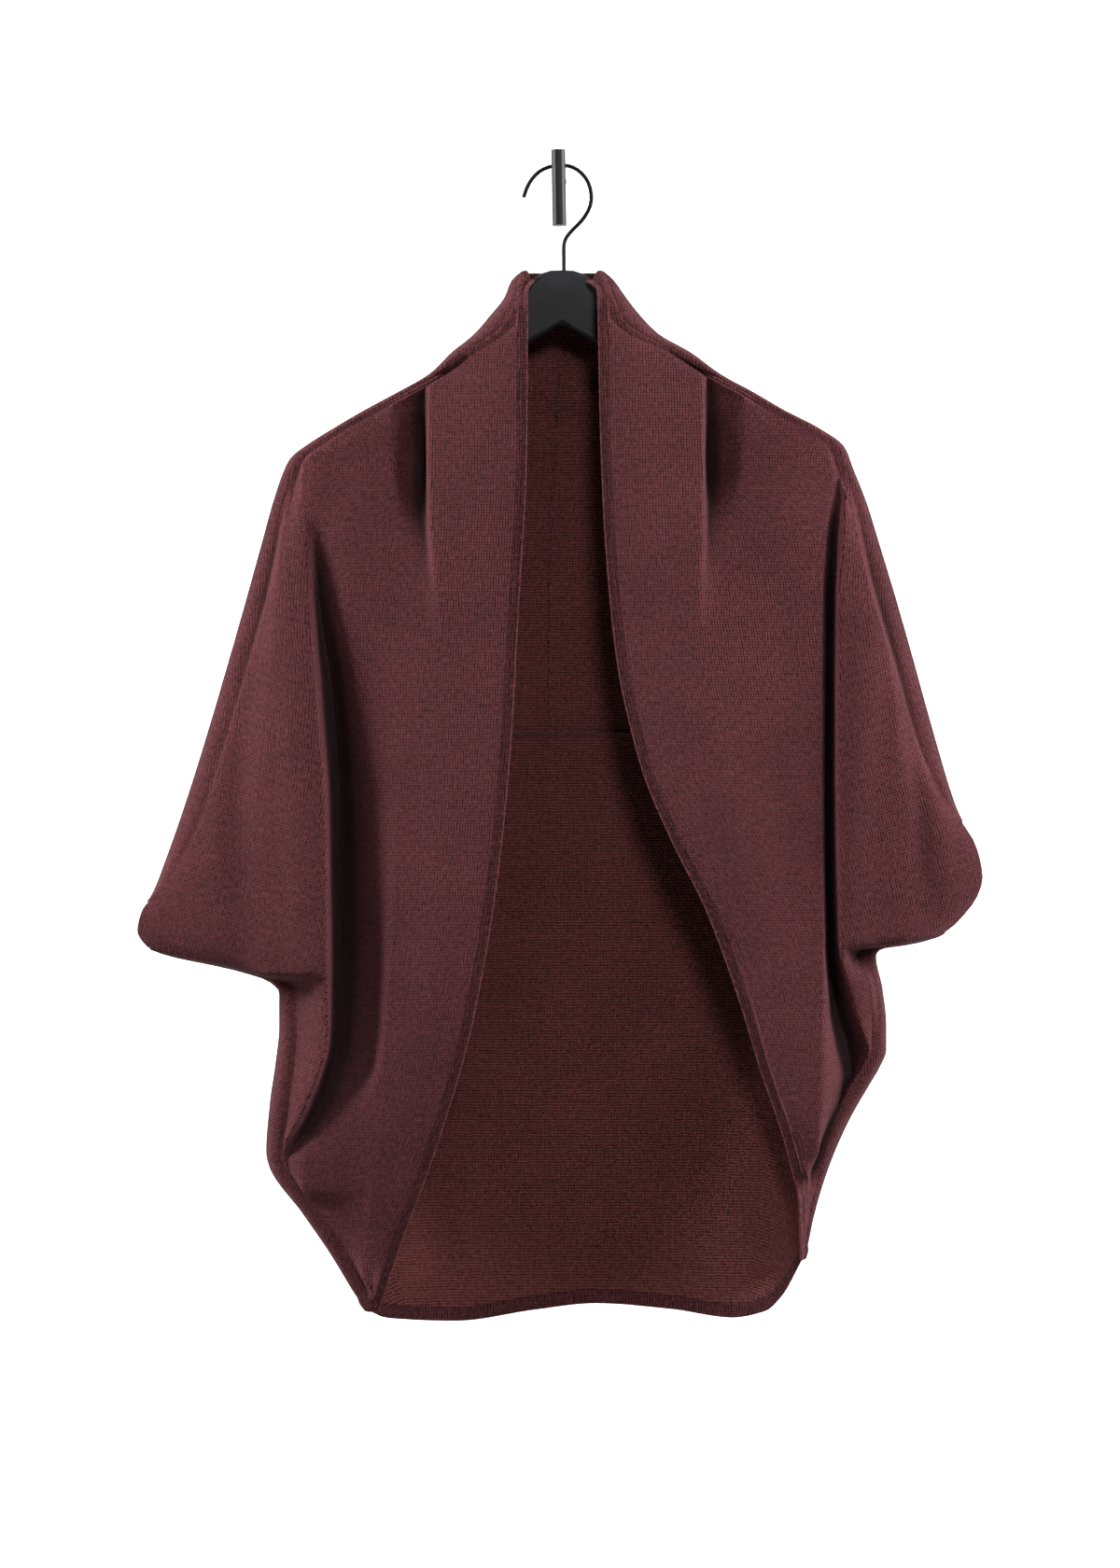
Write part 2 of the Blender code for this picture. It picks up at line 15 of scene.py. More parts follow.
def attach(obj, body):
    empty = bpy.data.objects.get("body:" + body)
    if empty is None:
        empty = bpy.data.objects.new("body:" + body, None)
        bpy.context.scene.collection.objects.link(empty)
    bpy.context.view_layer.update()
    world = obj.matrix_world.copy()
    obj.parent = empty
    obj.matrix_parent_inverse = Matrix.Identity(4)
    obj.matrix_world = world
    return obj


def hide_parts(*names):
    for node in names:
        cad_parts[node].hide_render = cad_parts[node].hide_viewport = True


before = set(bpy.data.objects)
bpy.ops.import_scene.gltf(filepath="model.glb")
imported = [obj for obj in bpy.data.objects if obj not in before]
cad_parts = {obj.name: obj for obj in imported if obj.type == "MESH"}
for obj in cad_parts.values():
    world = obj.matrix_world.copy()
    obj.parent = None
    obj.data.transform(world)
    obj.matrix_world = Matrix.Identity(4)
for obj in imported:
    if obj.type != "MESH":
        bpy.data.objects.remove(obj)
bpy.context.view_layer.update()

MM = 0.001
HANGER_Y = -55.0  # the hanger's middle plane
WALL = 2.0  # thickness of the knit
RIB, HEM = 6.5, 10.0  # widths of the front band, and of the hem band and the cuffs
SLIM = 4.0  # width of the strip beside the side turn, away from the cuff
NARROW = 24.0  # on a front narrower than this the lines are spaced evenly
LINE_GAP = 1.2  # least distance between two lines
LINE_PUSH = 9.0  # a line this far past its limit takes the side turn's depth
BAND_RISE = 0.6  # how far forwards the band's inner edge is from its outer edge
BACK_CROWDING = 1.3  # power that draws the back's columns towards the side
ROW_STEP = 3.3  # most distance between two fine rows
WALE, COURSE = 2.1, 2.2  # width and height of a stitch

# ---------------- the cloth's lines, a row for each
# Each line runs down a front. A row holds its places as (drop, out) and its depths as (drop, depth).
# edge: the open front edge. roll: outer fold of the collar. pocket, pocket_end: the dark pleat beside it.
# wall_top, valley, crest: the long side pleat. ridge: the soft ridge down the sleeve.
FRONT_LINES = {
    -1: {
        "edge": ([(77, 20), (84, 24), (95, 25), (220, 26), (333, 32), (425, 37), (476, 41), (554, 50),
            (654, 68), (740, 93), (825, 124), (871, 139)],
            [(77, 14), (95, 26), (151, 32), (333, 33), (611, 34), (711, 28), (811, 16), (871, 5)]),
        "roll": ([(150, 98), (226, 98), (268, 96), (333, 89), (400, 87), (520, 92), (654, 108), (754, 130),
            (825, 144)],
            [(140, 23), (152, 24), (165, 27), (190, 31), (240, 34), (300, 37), (368, 38), (611, 38),
            (711, 31), (811, 17)]),
        "pocket": ([(150, 103), (226, 103), (268, 103), (333, 98), (400, 97), (520, 104), (654, 118),
            (754, 138), (825, 147)],
            [(150, 10), (190, 8.5), (226, 3), (245, 10), (285, 26), (330, 35), (400, 38), (611, 38),
            (711, 31), (811, 17)]),
        "pocket_end": ([(150, 127), (226, 127), (268, 124), (333, 118), (400, 116), (520, 122), (654, 130),
            (754, 146), (825, 150)],
            [(150, 9.5), (190, 15), (226, 18), (285, 27), (333, 32), (400, 36), (611, 37), (711, 30),
            (811, 16)]),
        "wall_top": ([(200, 176), (280, 166), (333, 160), (368, 155), (440, 146), (583, 141), (680, 143),
            (711, 163), (754, 196)],
            [(200, 11), (240, 18), (297, 27), (333, 28), (404, 27), (476, 24), (611, 21), (680, 22),
            (754, 20), (811, 14)]),
        "valley": ([(200, 190), (280, 186), (333, 183), (404, 175), (476, 171), (620, 170), (660, 172),
            (711, 184), (754, 209)],
            [(200, 10), (268, 22), (333, 14), (404, -8), (500, -18), (590, -16), (632, -9), (711, 1),
            (754, 12), (811, 12)]),
        "crest": ([(200, 196), (276, 194), (404, 185), (490, 178), (656, 176), (713, 193), (751, 216)],
            [(200, 9), (276, 24), (333, 29), (404, 33), (476, 35), (600, 37), (654, 34), (711, 27),
            (754, 16), (811, 11)]),
        "ridge": ([(200, 205), (228, 208), (440, 218), (627, 219)],
            [(200, 9), (240, 14), (268, 18), (333, 25), (476, 31), (600, 34), (626, 30), (640, 17),
            (711, 19), (754, 10)]),
    },
    1: {
        "edge": ([(77, 21), (84, 28), (95, 29), (190, 31), (268, 34), (333, 39), (383, 45), (425, 54),
            (461, 64), (511, 85), (561, 110), (625, 134), (683, 152), (747, 173), (790, 182), (831, 184)],
            [(77, 14), (95, 26), (151, 32), (333, 34), (540, 38), (611, 36), (711, 32), (783, 23),
            (811, 18), (831, 13)]),
        "roll": ([(150, 107), (226, 107), (268, 106), (333, 102), (404, 104), (476, 112), (561, 130),
            (625, 146), (683, 160), (747, 178)],
            [(140, 23), (152, 24), (165, 27), (190, 31), (240, 34), (300, 36), (404, 37), (611, 39),
            (711, 36), (783, 24)]),
        "pocket": ([(150, 112), (226, 112), (268, 113), (333, 111), (404, 114), (476, 122), (561, 139),
            (625, 153), (683, 165), (747, 180)],
            [(150, 10), (190, 8.5), (222, 3), (245, 12), (285, 27), (330, 34), (404, 37), (611, 39),
            (711, 36), (783, 24)]),
        "pocket_end": ([(150, 140), (226, 140), (268, 138), (333, 135), (404, 137), (476, 144), (561, 157),
            (625, 165), (683, 173), (747, 184)],
            [(150, 9.5), (190, 15), (226, 18), (285, 26), (330, 31), (404, 35), (611, 38), (711, 36),
            (783, 25)]),
        "wall_top": ([(200, 205), (242, 206), (276, 201), (333, 198), (476, 197.5), (609, 199), (656, 197),
            (727, 196), (804, 190)],
            [(200, 10), (242, 15), (290, 22), (333, 26), (476, 31), (611, 35), (660, 37), (740, 31),
            (804, 14)]),
        "valley": ([(200, 208), (242, 212), (276, 208), (333, 205), (476, 204), (597, 206), (640, 213),
            (683, 224), (720, 218), (804, 193)],
            [(200, 9.5), (250, 12), (285, 6), (333, -5), (476, -10), (611, -11), (660, -8), (711, -5),
            (783, 2)]),
        "crest": ([(200, 210), (242, 218), (276, 215), (333, 212), (440, 211), (597, 213), (625, 220),
            (661, 232), (683, 242)],
            [(200, 9.5), (250, 17), (285, 23), (333, 28), (476, 32), (590, 33), (615, 26), (661, 16),
            (690, 4)]),
        "ridge": ([(200, 214), (240, 221), (297, 231), (397, 252), (511, 260), (583, 262), (600, 234),
            (640, 239), (672, 245)],
            [(200, 9), (240, 14), (297, 20), (404, 28), (511, 32), (583, 29), (600, 22), (640, 16),
            (690, 4)]),
    },
}
# The silhouette, where a front turns round to the back: (drop, out), then the turn's middle depth and
# its half sizes, (drop, depth), (drop, half depth), (drop, half width).
SIDE_LINES = {
    -1: (
        [(77, 29), (83, 36), (97, 42), (111, 53), (126, 66), (140, 83), (154, 97), (169, 123), (183, 149),
         (197, 173), (211, 195), (219, 205), (228, 210), (254, 219), (283, 227), (326, 239), (368, 251),
         (426, 268), (483, 286), (526, 301), (554, 312), (566, 320), (580, 323), (592, 316), (598, 302),
         (611, 245), (619, 222), (628, 214), (654, 214), (683, 217), (711, 221), (750, 224), (760, 222),
         (797, 196), (826, 176), (854, 159), (871, 149)],
        [(77, -2), (115, 0), (150, 3.5), (163, 0), (226, 0), (404, -2), (540, -4), (611, -2), (871, 0)],
        [(77, 8), (95, 20), (115, 25), (135, 23), (152, 18), (163, 9), (226, 9), (333, 11), (520, 17),
         (580, 20), (606, 15), (640, 15), (711, 17), (754, 13), (811, 9), (871, 4)],
        [(77, 3), (95, 9), (115, 15), (133, 12), (151, 6), (169, 5), (226, 7), (333, 15), (490, 16),
         (543, 8), (558, 2), (598, 2), (606, 6), (640, 8), (711, 10), (754, 8), (811, 6), (871, 3)],
    ),
    1: (
        [(77, 33), (83, 40), (97, 50), (111, 61), (126, 76), (140, 100), (154, 119), (169, 147), (183, 171),
         (197, 198), (211, 217), (226, 223), (254, 234), (283, 243), (326, 256), (368, 268), (426, 284),
         (483, 301), (497, 307), (511, 316), (526, 321), (540, 323), (554, 319), (568, 309), (583, 292),
         (590, 270), (594, 245), (600, 241), (625, 246), (654, 249), (672, 249), (685, 244), (697, 237),
         (725, 221), (754, 208), (783, 198), (811, 191), (831, 188)],
        [(77, -2), (115, 0), (150, 3.5), (163, 0), (226, 0), (511, 1), (611, -2), (700, -4), (831, -2)],
        [(77, 8), (95, 20), (115, 25), (135, 23), (152, 18), (163, 9), (226, 9), (333, 11), (497, 15),
         (540, 17), (583, 14), (600, 13), (640, 14), (711, 13), (783, 10), (811, 8), (831, 6)],
        [(77, 3), (95, 9), (115, 15), (133, 12), (151, 6), (169, 5), (226, 7), (333, 15), (430, 15),
         (483, 7), (497, 2), (583, 2), (590, 5), (640, 6), (711, 8), (783, 5), (831, 2)],
    ),
}
# The back, as depths down three lines: at a share of the way from the side turn to the centre seam.
BACK_LINES = {
    -1: {
        0.22: [(77, -11), (110, -22), (151, -14), (226, -12), (333, -21), (476, -19), (640, -21),
               (754, -16), (871, -8)],
        0.48: [(77, -12), (110, -27), (151, -20), (190, -15), (240, -20), (333, -34), (476, -41),
               (640, -39), (754, -30), (871, -14)],
    },
    1: {
        0.24: [(77, -11), (110, -22), (151, -14), (226, -12), (333, -19), (476, -17), (640, -19),
               (754, -15), (871, -9)],
        0.52: [(77, -12), (110, -27), (151, -20), (190, -15), (240, -21), (333, -36), (476, -39),
               (640, -36), (754, -27), (871, -15)],
    },
}
CENTRE_DEPTH = [(76, -12), (98, -23), (120, -31), (150, -32), (167, -21), (190, -27), (268, -31),
                (429, -33), (640, -33), (800, -26), (880, -17)]
CENTRE_OUT = [(76, 1), (170, -2), (268, -8), (368, -9), (429, -7), (880, -7)]
BACK_SEAM_DROP = 429
BACK_SEAM_RISE = 0.6  # share of the way to the centre at which the cross seam gets to that drop
CUFF_SPAN = {-1: (548, 594), 1: (487, 582)}
CUFF_BLEND, CUFF_REACH = 30, 40  # how the strip beside the turn widens above and below the cuff
HEM_DROP = [(-150, 871), (-130, 877), (-79, 880), (-20, 872), (28, 867), (85, 871), (132, 877),
            (157, 872), (170, 860), (179, 845), (187, 831)]
NECK_DROP = 77
NECK_LEAN, NECK_LEAN_END = 8.0, 35  # the top rows droop this much at the front edge, over this height
# Rows of cloth cells: the drop of each key row at the left and right side, and the rows up to it.
ROW_KEYS = [  # name, left, right, rows
    ("neckline", NECK_DROP, NECK_DROP, 0),
    ("neck_rib", 83.5, 83.5, 1),
    ("collar", 110, 110, 3),
    ("pleat_start", 150, 150, 3),
    ("pleat", 163, 163, 1),
    ("hanger_end", 226, 226, 4),
    ("cuff_seam_top", 548, 487, 9),
    ("cuff_top", 558, 497, 1),
    ("cuff_bottom", 594, 582, 3),
    ("underarm", 632, 604, 4),
    ("side_corner", 754, 690, 5),
    ("hem_seam", 861, 821, 5),
    ("hem", 871, 831, 1),
]
# Columns of cloth cells between one line and the next.
COLUMNS = [("rib", 1), ("roll", 3), ("pocket", 2), ("pocket_end", 2), ("wall_top", 2), ("valley", 2),
           ("crest", 1), ("ridge", 2), ("cuff_seam", 2), ("front_turn", 1), ("side", 2), ("back_turn", 2),
           ("back_cuff_seam", 1), ("centre", 7)]
# How finely each run of columns is divided, for each of its cells in COLUMNS.
FINE = {"rib": 12, "roll": 9, "pocket": 6, "pocket_end": 6, "wall_top": 7, "valley": 5, "crest": 5,
        "ridge": 6, "cuff_seam": 7, "front_turn": 6, "side": 5, "back_turn": 5, "back_cuff_seam": 6,
        "centre": 10}


def monotone(xs, ys, at):
    """Reads ys over xs by a monotone cubic, level past its ends. ys may hold a column for each place."""
    xs = np.asarray(xs, float)
    ys = np.asarray(ys, float)
    at = np.clip(np.asarray(at, float), xs[0], xs[-1])
    step = np.diff(xs).reshape((-1,) + (1,) * (ys.ndim - 1))
    slope = np.diff(ys, axis=0) / step
    tangent = np.zeros_like(ys)
    before, after = slope[:-1], slope[1:]
    same_way = before * after > 0
    total = np.where(same_way, before + after, 1.0)
    tangent[1:-1] = np.where(same_way, 2 * before * after / total, 0.0)
    tangent[0], tangent[-1] = slope[0], slope[-1]
    k = np.clip(np.searchsorted(xs, at, side="right") - 1, 0, len(xs) - 2)
    width = xs[k + 1] - xs[k]
    t = (at - xs[k]) / width
    pick = (lambda a, n: a[n]) if ys.ndim == 1 else (lambda a, n: a[n, np.arange(ys.shape[1])])
    return (
        (1 + 2 * t) * (1 - t) ** 2 * pick(ys, k)
        + t * (1 - t) ** 2 * width * pick(tangent, k)
        + t * t * (3 - 2 * t) * pick(ys, k + 1)
        + t * t * (t - 1) * width * pick(tangent, k + 1)
    )


def smooth_read(table, at):
    """Reads a table of (place, value) rows."""
    return monotone([row[0] for row in table], [row[1] for row in table], at)


def ease(t):
    """0 to 1, level at both ends."""
    t = np.clip(t, 0.0, 1.0)
    return t * t * (3 - 2 * t)


def blend(first, second, share):
    return tuple(a + (b - a) * share for a, b in zip(first, second))


def unit(vectors):
    return vectors / np.maximum(np.linalg.norm(vectors, axis=-1, keepdims=True), 1e-12)


def place(x, drop, depth):
    """Points in metres in the model's frame."""
    return np.stack([x, HANGER_Y - depth, -drop], axis=-1) * MM


# ---------------- rows and columns
def fine_rows():
    """Each fine row as (row of ROW_KEYS' count, drop at the left side, drop at the right side)."""
    _, left, right, _ = ROW_KEYS[0]
    rows = [(0.0, left, right)]
    for _, left, right, count in ROW_KEYS[1:]:
        row, old_left, old_right = rows[-1]
        steps = count * math.ceil((left - old_left) / count / ROW_STEP)
        for k in range(1, steps + 1):
            t = k / steps
            rows.append((row + count * t, old_left + (left - old_left) * t,
                         old_right + (right - old_right) * t))
    return np.array(rows)


def fine_columns():
    """The fine columns, as places in the count of COLUMNS."""
    places, start = [0.0], 0
    for name, count in COLUMNS:
        steps = count * FINE[name]
        places += [start + count * k / steps for k in range(1, steps + 1)]
        start += count
    return np.array(places)


def key_places(keys, counts):
    return dict(zip(keys, np.cumsum(counts)))


ROW = key_places([key[0] for key in ROW_KEYS], [key[3] for key in ROW_KEYS])
COLUMN = key_places(["edge"] + [key[0] for key in COLUMNS], [0] + [key[1] for key in COLUMNS])
KEY_LEVELS = {key[0]: {-1: key[1], 1: key[2]} for key in ROW_KEYS}
ROWS = fine_rows()
COLUMNS_AT = fine_columns()
LAST_COLUMN = COLUMN["centre"]


def fine_column(name):
    """The number of the fine column on this line."""
    return int(np.searchsorted(COLUMNS_AT, COLUMN[name]))


def cell_middles():
    """The row and the column of each cell's middle, as two arrays [row, column]."""
    rows, columns = ((at[:-1] + at[1:]) / 2 for at in (ROWS[:, 0], COLUMNS_AT))
    return np.meshgrid(rows, columns, indexing="ij")


def cell_corners(grid):
    """What a grid of points holds at each cell's four corners."""
    return np.stack([grid[:-1, :-1], grid[:-1, 1:], grid[1:, 1:], grid[1:, :-1]], axis=2)


def front_controls(side, drop):
    """The section of one front at this drop: (out, depth) at each line, from the edge to the turn."""
    silhouette, middle, half_depth, half_width = (smooth_read(t, drop) for t in SIDE_LINES[side])
    turn = (silhouette - half_width, middle + half_depth)
    lines = FRONT_LINES[side]
    edge = [smooth_read(table, drop) for table in lines["edge"]]
    width = turn[0] - edge[0]
    narrow = ease((NARROW - width) / (0.5 * NARROW))
    share = min(RIB / math.dist(edge, turn), 0.45)
    aside = (edge[0] + RIB, edge[1] + BAND_RISE)
    controls = [tuple(edge), blend(aside, blend(edge, turn, share), narrow)]
    names = list(lines)[1:]
    top, bottom = CUFF_SPAN[side]
    by_cuff = (ease((drop - top + CUFF_REACH) / CUFF_BLEND)
               * ease((bottom + CUFF_REACH - drop) / CUFF_BLEND))
    seam_width = SLIM + (HEM - SLIM) * by_cuff
    cuff_seam = turn[0] - min(seam_width, 0.25 * (turn[0] - controls[1][0]))
    gap = min(LINE_GAP, (cuff_seam - controls[1][0]) / (len(names) + 1))
    for k, name in enumerate(names):
        out, depth = (smooth_read(table, drop) for table in lines[name])
        limit = cuff_seam - gap * (len(names) - k)
        pushed = ease((out - limit) / LINE_PUSH)
        out = max(min(out, limit), controls[-1][0] + gap)
        even = blend(edge, turn, share + (1 - share) * (k + 1) / (len(names) + 2))
        controls.append(blend((out, depth + (turn[1] - depth) * pushed), even, narrow))
    before = controls[-1]
    way = (cuff_seam - before[0]) / (turn[0] - before[0])
    bent = (cuff_seam, before[1] + (turn[1] - before[1]) * way * way)
    controls.append(blend(bent, blend(before, turn, 0.5), narrow))
    controls.append(turn)
    return controls


def back_drop(side, level, share, x):
    """The drop of a row of the back, at these shares of the way from the side turn to the centre."""
    neck, underarm, hem_seam, hem = (KEY_LEVELS[name][side]
                                     for name in ("neckline", "underarm", "hem_seam", "hem"))
    seam = underarm + (BACK_SEAM_DROP - underarm) * ease(share / BACK_SEAM_RISE)
    bottom = smooth_read(HEM_DROP, x)
    if level <= underarm:
        drop = neck + (seam - neck) * (level - neck) / (underarm - neck)
    elif level <= hem_seam:
        drop = seam + (bottom - HEM - seam) * (level - underarm) / (hem_seam - underarm)
    else:
        drop = bottom - HEM * (hem - level) / (hem - hem_seam)
    return drop


def half_cloth(side):
    """One half's middle surface, as arrays [row, column] of x, drop and depth."""
    at = COLUMNS_AT
    front = at <= COLUMN["front_turn"]
    turn = (at > COLUMN["front_turn"]) & (at <= COLUMN["back_turn"])
    back = at > COLUMN["back_turn"]
    keys = [0] + [COLUMN[name] for name, _ in COLUMNS[:10]]
    angle = np.pi * (at[turn] - COLUMN["front_turn"]) / (COLUMN["back_turn"] - COLUMN["front_turn"])
    past = (at[back] - COLUMN["back_cuff_seam"]) / (LAST_COLUMN - COLUMN["back_cuff_seam"])
    sheet = np.zeros((3, len(ROWS), len(at)))
    for r, row in enumerate(ROWS):
        level = row[1] if side < 0 else row[2]
        controls = np.array(front_controls(side, level))
        lean = NECK_LEAN * (1 - ease((level - NECK_DROP) / NECK_LEAN_END))
        lean = lean * (1 - ease(at[front] / COLUMN["front_turn"]))
        sheet[:, r, front] = (side * monotone(keys, controls[:, 0], at[front]), level + lean,
                              monotone(keys, controls[:, 1], at[front]))
        silhouette, middle, half_depth, half_width = (smooth_read(t, level) for t in SIDE_LINES[side])
        sheet[:, r, turn] = (side * (silhouette - half_width + half_width * np.sin(angle)),
                             np.full(angle.shape, level), middle + half_depth * np.cos(angle))
        start_out = silhouette - half_width
        seam_share = min(HEM / max(start_out, HEM * 2), 0.3)
        share = np.where(past < 0, seam_share * (1 + past),
                         seam_share + (1 - seam_share) * np.clip(past, 0, 1) ** BACK_CROWDING)
        centre = smooth_read(CENTRE_OUT, NECK_DROP - 1 + (level - NECK_DROP) * 0.6)
        x = side * start_out + (centre - side * start_out) * share
        drop = back_drop(side, level, share, x)
        lines = BACK_LINES[side]
        depths = [np.full(x.shape, middle - half_depth)]
        depths += [smooth_read(table, drop) for table in lines.values()]
        depths += [smooth_read(CENTRE_DEPTH, drop)]
        sheet[:, r, back] = (x, drop, monotone([0.0, *lines, 1.0], depths, share))
    return sheet


def join_at_centre(halves):
    """Moves both halves' backs to one shared centre line."""
    shared = (halves[-1][:, :, -1] + halves[1][:, :, -1]) / 2
    share = np.clip((COLUMNS_AT - COLUMN["back_turn"]) / (LAST_COLUMN - COLUMN["back_turn"]), 0, 1) ** 2
    for sheet in halves.values():
        sheet += (shared - sheet[:, :, -1])[:, :, None] * share


# ---------------- creases, listed one by one
# side, face (1 front, -1 back), route as (out, drop), half width, height out of the cloth's outer face
CREASES = [
    (-1, 1, [(46, 96), (58, 150), (66, 230), (64, 340)], 26, 3.0),
    (1, 1, [(50, 96), (62, 150), (74, 230), (76, 340)], 28, 3.0),
    (-1, 1, [(97, 236), (92, 290), (89, 352)], 9, 2.4),
    (1, 1, [(108, 240), (104, 300), (107, 360)], 10, 1.8),
    (-1, 1, [(150, 300), (140, 420), (128, 560), (132, 680)], 24, -3.0),
    (-1, 1, [(105, 470), (100, 600), (112, 730)], 20, 2.2),
    (1, 1, [(150, 250), (168, 380), (178, 520), (182, 640)], 22, -2.6),
    (1, 1, [(120, 420), (150, 520), (172, 640)], 18, 2.2),
    (-1, 1, [(202, 300), (200, 400), (198, 500), (188, 640)], 15, 5.0),
    (-1, 1, [(228, 280), (240, 380), (246, 480), (238, 596)], 13, -5.0),
    (1, 1, [(234, 270), (232, 380), (226, 480), (222, 600)], 13, 4.5),
    (1, 1, [(262, 320), (274, 420), (274, 560)], 13, -5.0),
    (1, 1, [(275, 420), (290, 500), (296, 560)], 10, 2.4),
    (-1, -1, [(110, 240), (128, 380), (120, 540), (112, 700)], 26, 4.0),
    (-1, -1, [(170, 260), (192, 400), (205, 540)], 16, -4.5),
    (-1, -1, [(215, 300), (240, 420), (262, 540)], 14, 3.0),
    (-1, -1, [(60, 160), (90, 210), (140, 250)], 12, 2.2),
    (1, -1, [(120, 250), (138, 400), (132, 560), (120, 700)], 28, 4.0),
    (1, -1, [(185, 270), (205, 400), (214, 530)], 15, -4.5),
    (1, -1, [(230, 300), (256, 420), (274, 500)], 13, 3.0),
    (1, -1, [(70, 165), (100, 205), (150, 245)], 12, 2.0),
]


CREASE_ENDS, CREASE_TAPER = 0.06, 0.7
UNEVEN_SIZE = (62, 95, 30)  # the slight unevenness: its waves' size across, down and out of the cloth
UNEVEN_HEIGHT, UNEVEN_FINER = (0.9, 0.3), 3.1
COLLAR_TOP, COLLAR_END, COLLAR_BLEND = 100, 215, 25  # drops between which the collar is evened out
COLLAR_REACH, COLLAR_SIDES = 5.0, 6  # over this many rows, and fading out in this many columns


def crease_height(routes, x, drop):
    """The height added at each point by the creases, each one tapering off at its two ends."""
    total = np.zeros_like(x)
    for route, width, height in routes:
        route = np.array(route, float)
        lengths = np.linalg.norm(np.diff(route, axis=0), axis=1)
        whole, done = lengths.sum(), 0.0
        nearest = np.full(x.shape, 1e9)
        along = np.zeros_like(x)
        for a, b, length in zip(route[:-1], route[1:], lengths):
            t = ((x - a[0]) * (b[0] - a[0]) + (drop - a[1]) * (b[1] - a[1])) / length ** 2
            t = np.clip(t, 0, 1)
            away = np.hypot(x - a[0] - t * (b[0] - a[0]), drop - a[1] - t * (b[1] - a[1]))
            closer = away < nearest
            nearest = np.where(closer, away, nearest)
            along = np.where(closer, (done + t * length) / whole, along)
            done += length
        taper = np.sin(np.pi * (CREASE_ENDS + (1 - 2 * CREASE_ENDS) * along)) ** CREASE_TAPER
        total += height * np.exp(-(nearest / width) ** 2) * taper
    return total


def spread_out(values, reach, most):
    """A row of values evened out over its neighbours, by a bell of this reach cut off at `most`."""
    bell = np.exp(-(np.arange(-most, most + 1) / reach) ** 2)
    return np.convolve(np.pad(values, most, mode="edge"), bell / bell.sum(), "valid")


def soften_collar(sheet):
    """Evens out the fronts' depth down the collar, where its outer fold begins below the shoulder."""
    x, drop, depth = sheet
    first, last = fine_column("rib"), fine_column("cuff_seam")
    for c in range(first, last):
        even = spread_out(depth[:, c], COLLAR_REACH, 10)
        by_side = min((c - first) / COLLAR_SIDES, (last - c) / COLLAR_SIDES, 1.0)
        from_top = ease((drop[:, c] - COLLAR_TOP) / COLLAR_BLEND)
        to_end = ease((COLLAR_END - drop[:, c]) / COLLAR_BLEND)
        depth[:, c] += (even - depth[:, c]) * from_top * to_end * by_side


def add_creases(side, sheet):
    """Raises and lowers the fronts and the back by their creases and a slight unevenness."""
    x, drop, depth = sheet
    out = x * side
    on_front = ease((COLUMN["cuff_seam"] + 0.5 - COLUMNS_AT) / 2.0) * ease(COLUMNS_AT / 1.5)
    on_back = ease((COLUMNS_AT - COLUMN["back_cuff_seam"]) / 1.5)
    for face, weight in ((1, on_front), (-1, on_back)):
        routes = [(route, width, height * face) for s, f, route, width, height in CREASES
                  if s == side and f == face]
        depth += crease_height(routes, out, drop) * weight
    for r in range(x.shape[0]):
        for c in range(x.shape[1]):
            spot = Vector((x[r, c], drop[r, c], depth[r, c]))
            spot = Vector([at / size for at, size in zip(spot, UNEVEN_SIZE)])
            depth[r, c] += UNEVEN_HEIGHT[0] * noise.noise(spot)
            depth[r, c] += UNEVEN_HEIGHT[1] * noise.noise(spot * UNEVEN_FINER)


# ---------------- pieces
def piece_cells(side):
    """The name of the sewn piece that each cell belongs to, as an array [row, column]."""
    label = "left" if side < 0 else "right"
    row, column = cell_middles()
    names = np.full(row.shape, "upper_" + label, dtype=object)
    names[(row > ROW["underarm"]) & (column > COLUMN["back_turn"])] = "lower_back"
    names[row > ROW["hem_seam"]] = "hem_band"
    names[row < ROW["neck_rib"]] = "neck_band"
    names[column < COLUMN["rib"]] = "front_band_" + label
    by_cuff = (row > ROW["cuff_seam_top"]) & (row < ROW["cuff_bottom"])
    names[by_cuff & (column > COLUMN["cuff_seam"]) & (column < COLUMN["back_cuff_seam"])] = "cuff_" + label
    in_turn = (column > COLUMN["front_turn"]) & (column < COLUMN["back_turn"])
    names[in_turn & (row > ROW["cuff_top"]) & (row < ROW["cuff_bottom"])] = ""
    return names


def sheet_normals(side, points):
    """The cloth's outward direction at each point."""
    across, down = np.gradient(points, axis=1), np.gradient(points, axis=0)
    return unit(side * np.cross(down, across))


def lengths_along(points, axis):
    """The distance along each row (axis 1) or column (axis 0), in millimetres."""
    step = np.linalg.norm(np.diff(points, axis=axis), axis=2) / MM
    start = np.zeros_like(np.take(points, [0], axis=axis)[:, :, 0])
    return np.cumsum(np.concatenate([start, step], axis=axis), axis=axis)


SLEEVE_LEAN = math.radians(16)
BACK_KNIT_START = 1.8  # columns past the back's sleeve seam where the back's own knitting begins


def knit_places(side, sheet, points):
    """Where each point lies on the knitting, (across the wales, along them) in millimetres, for each way
    that the knitting runs: along the front edge, down the sleeve and down the back's middle."""
    x, drop, _ = sheet
    across = lengths_along(points, 1)
    valley = fine_column("valley")
    out = side * x[:, [valley]] + across - across[:, [valley]]
    sleeve_across = out * math.cos(SLEEVE_LEAN) - drop * math.sin(SLEEVE_LEAN)
    sleeve_down = drop * math.cos(SLEEVE_LEAN) + out * math.sin(SLEEVE_LEAN)
    return {
        "front": np.stack([across, lengths_along(points, 0)[:, [12]] + 0 * across], axis=-1),
        "sleeve": np.stack([sleeve_across, sleeve_down], axis=-1),
        "back": np.stack([side * (across[:, [-1]] - across), drop], axis=-1),
    }


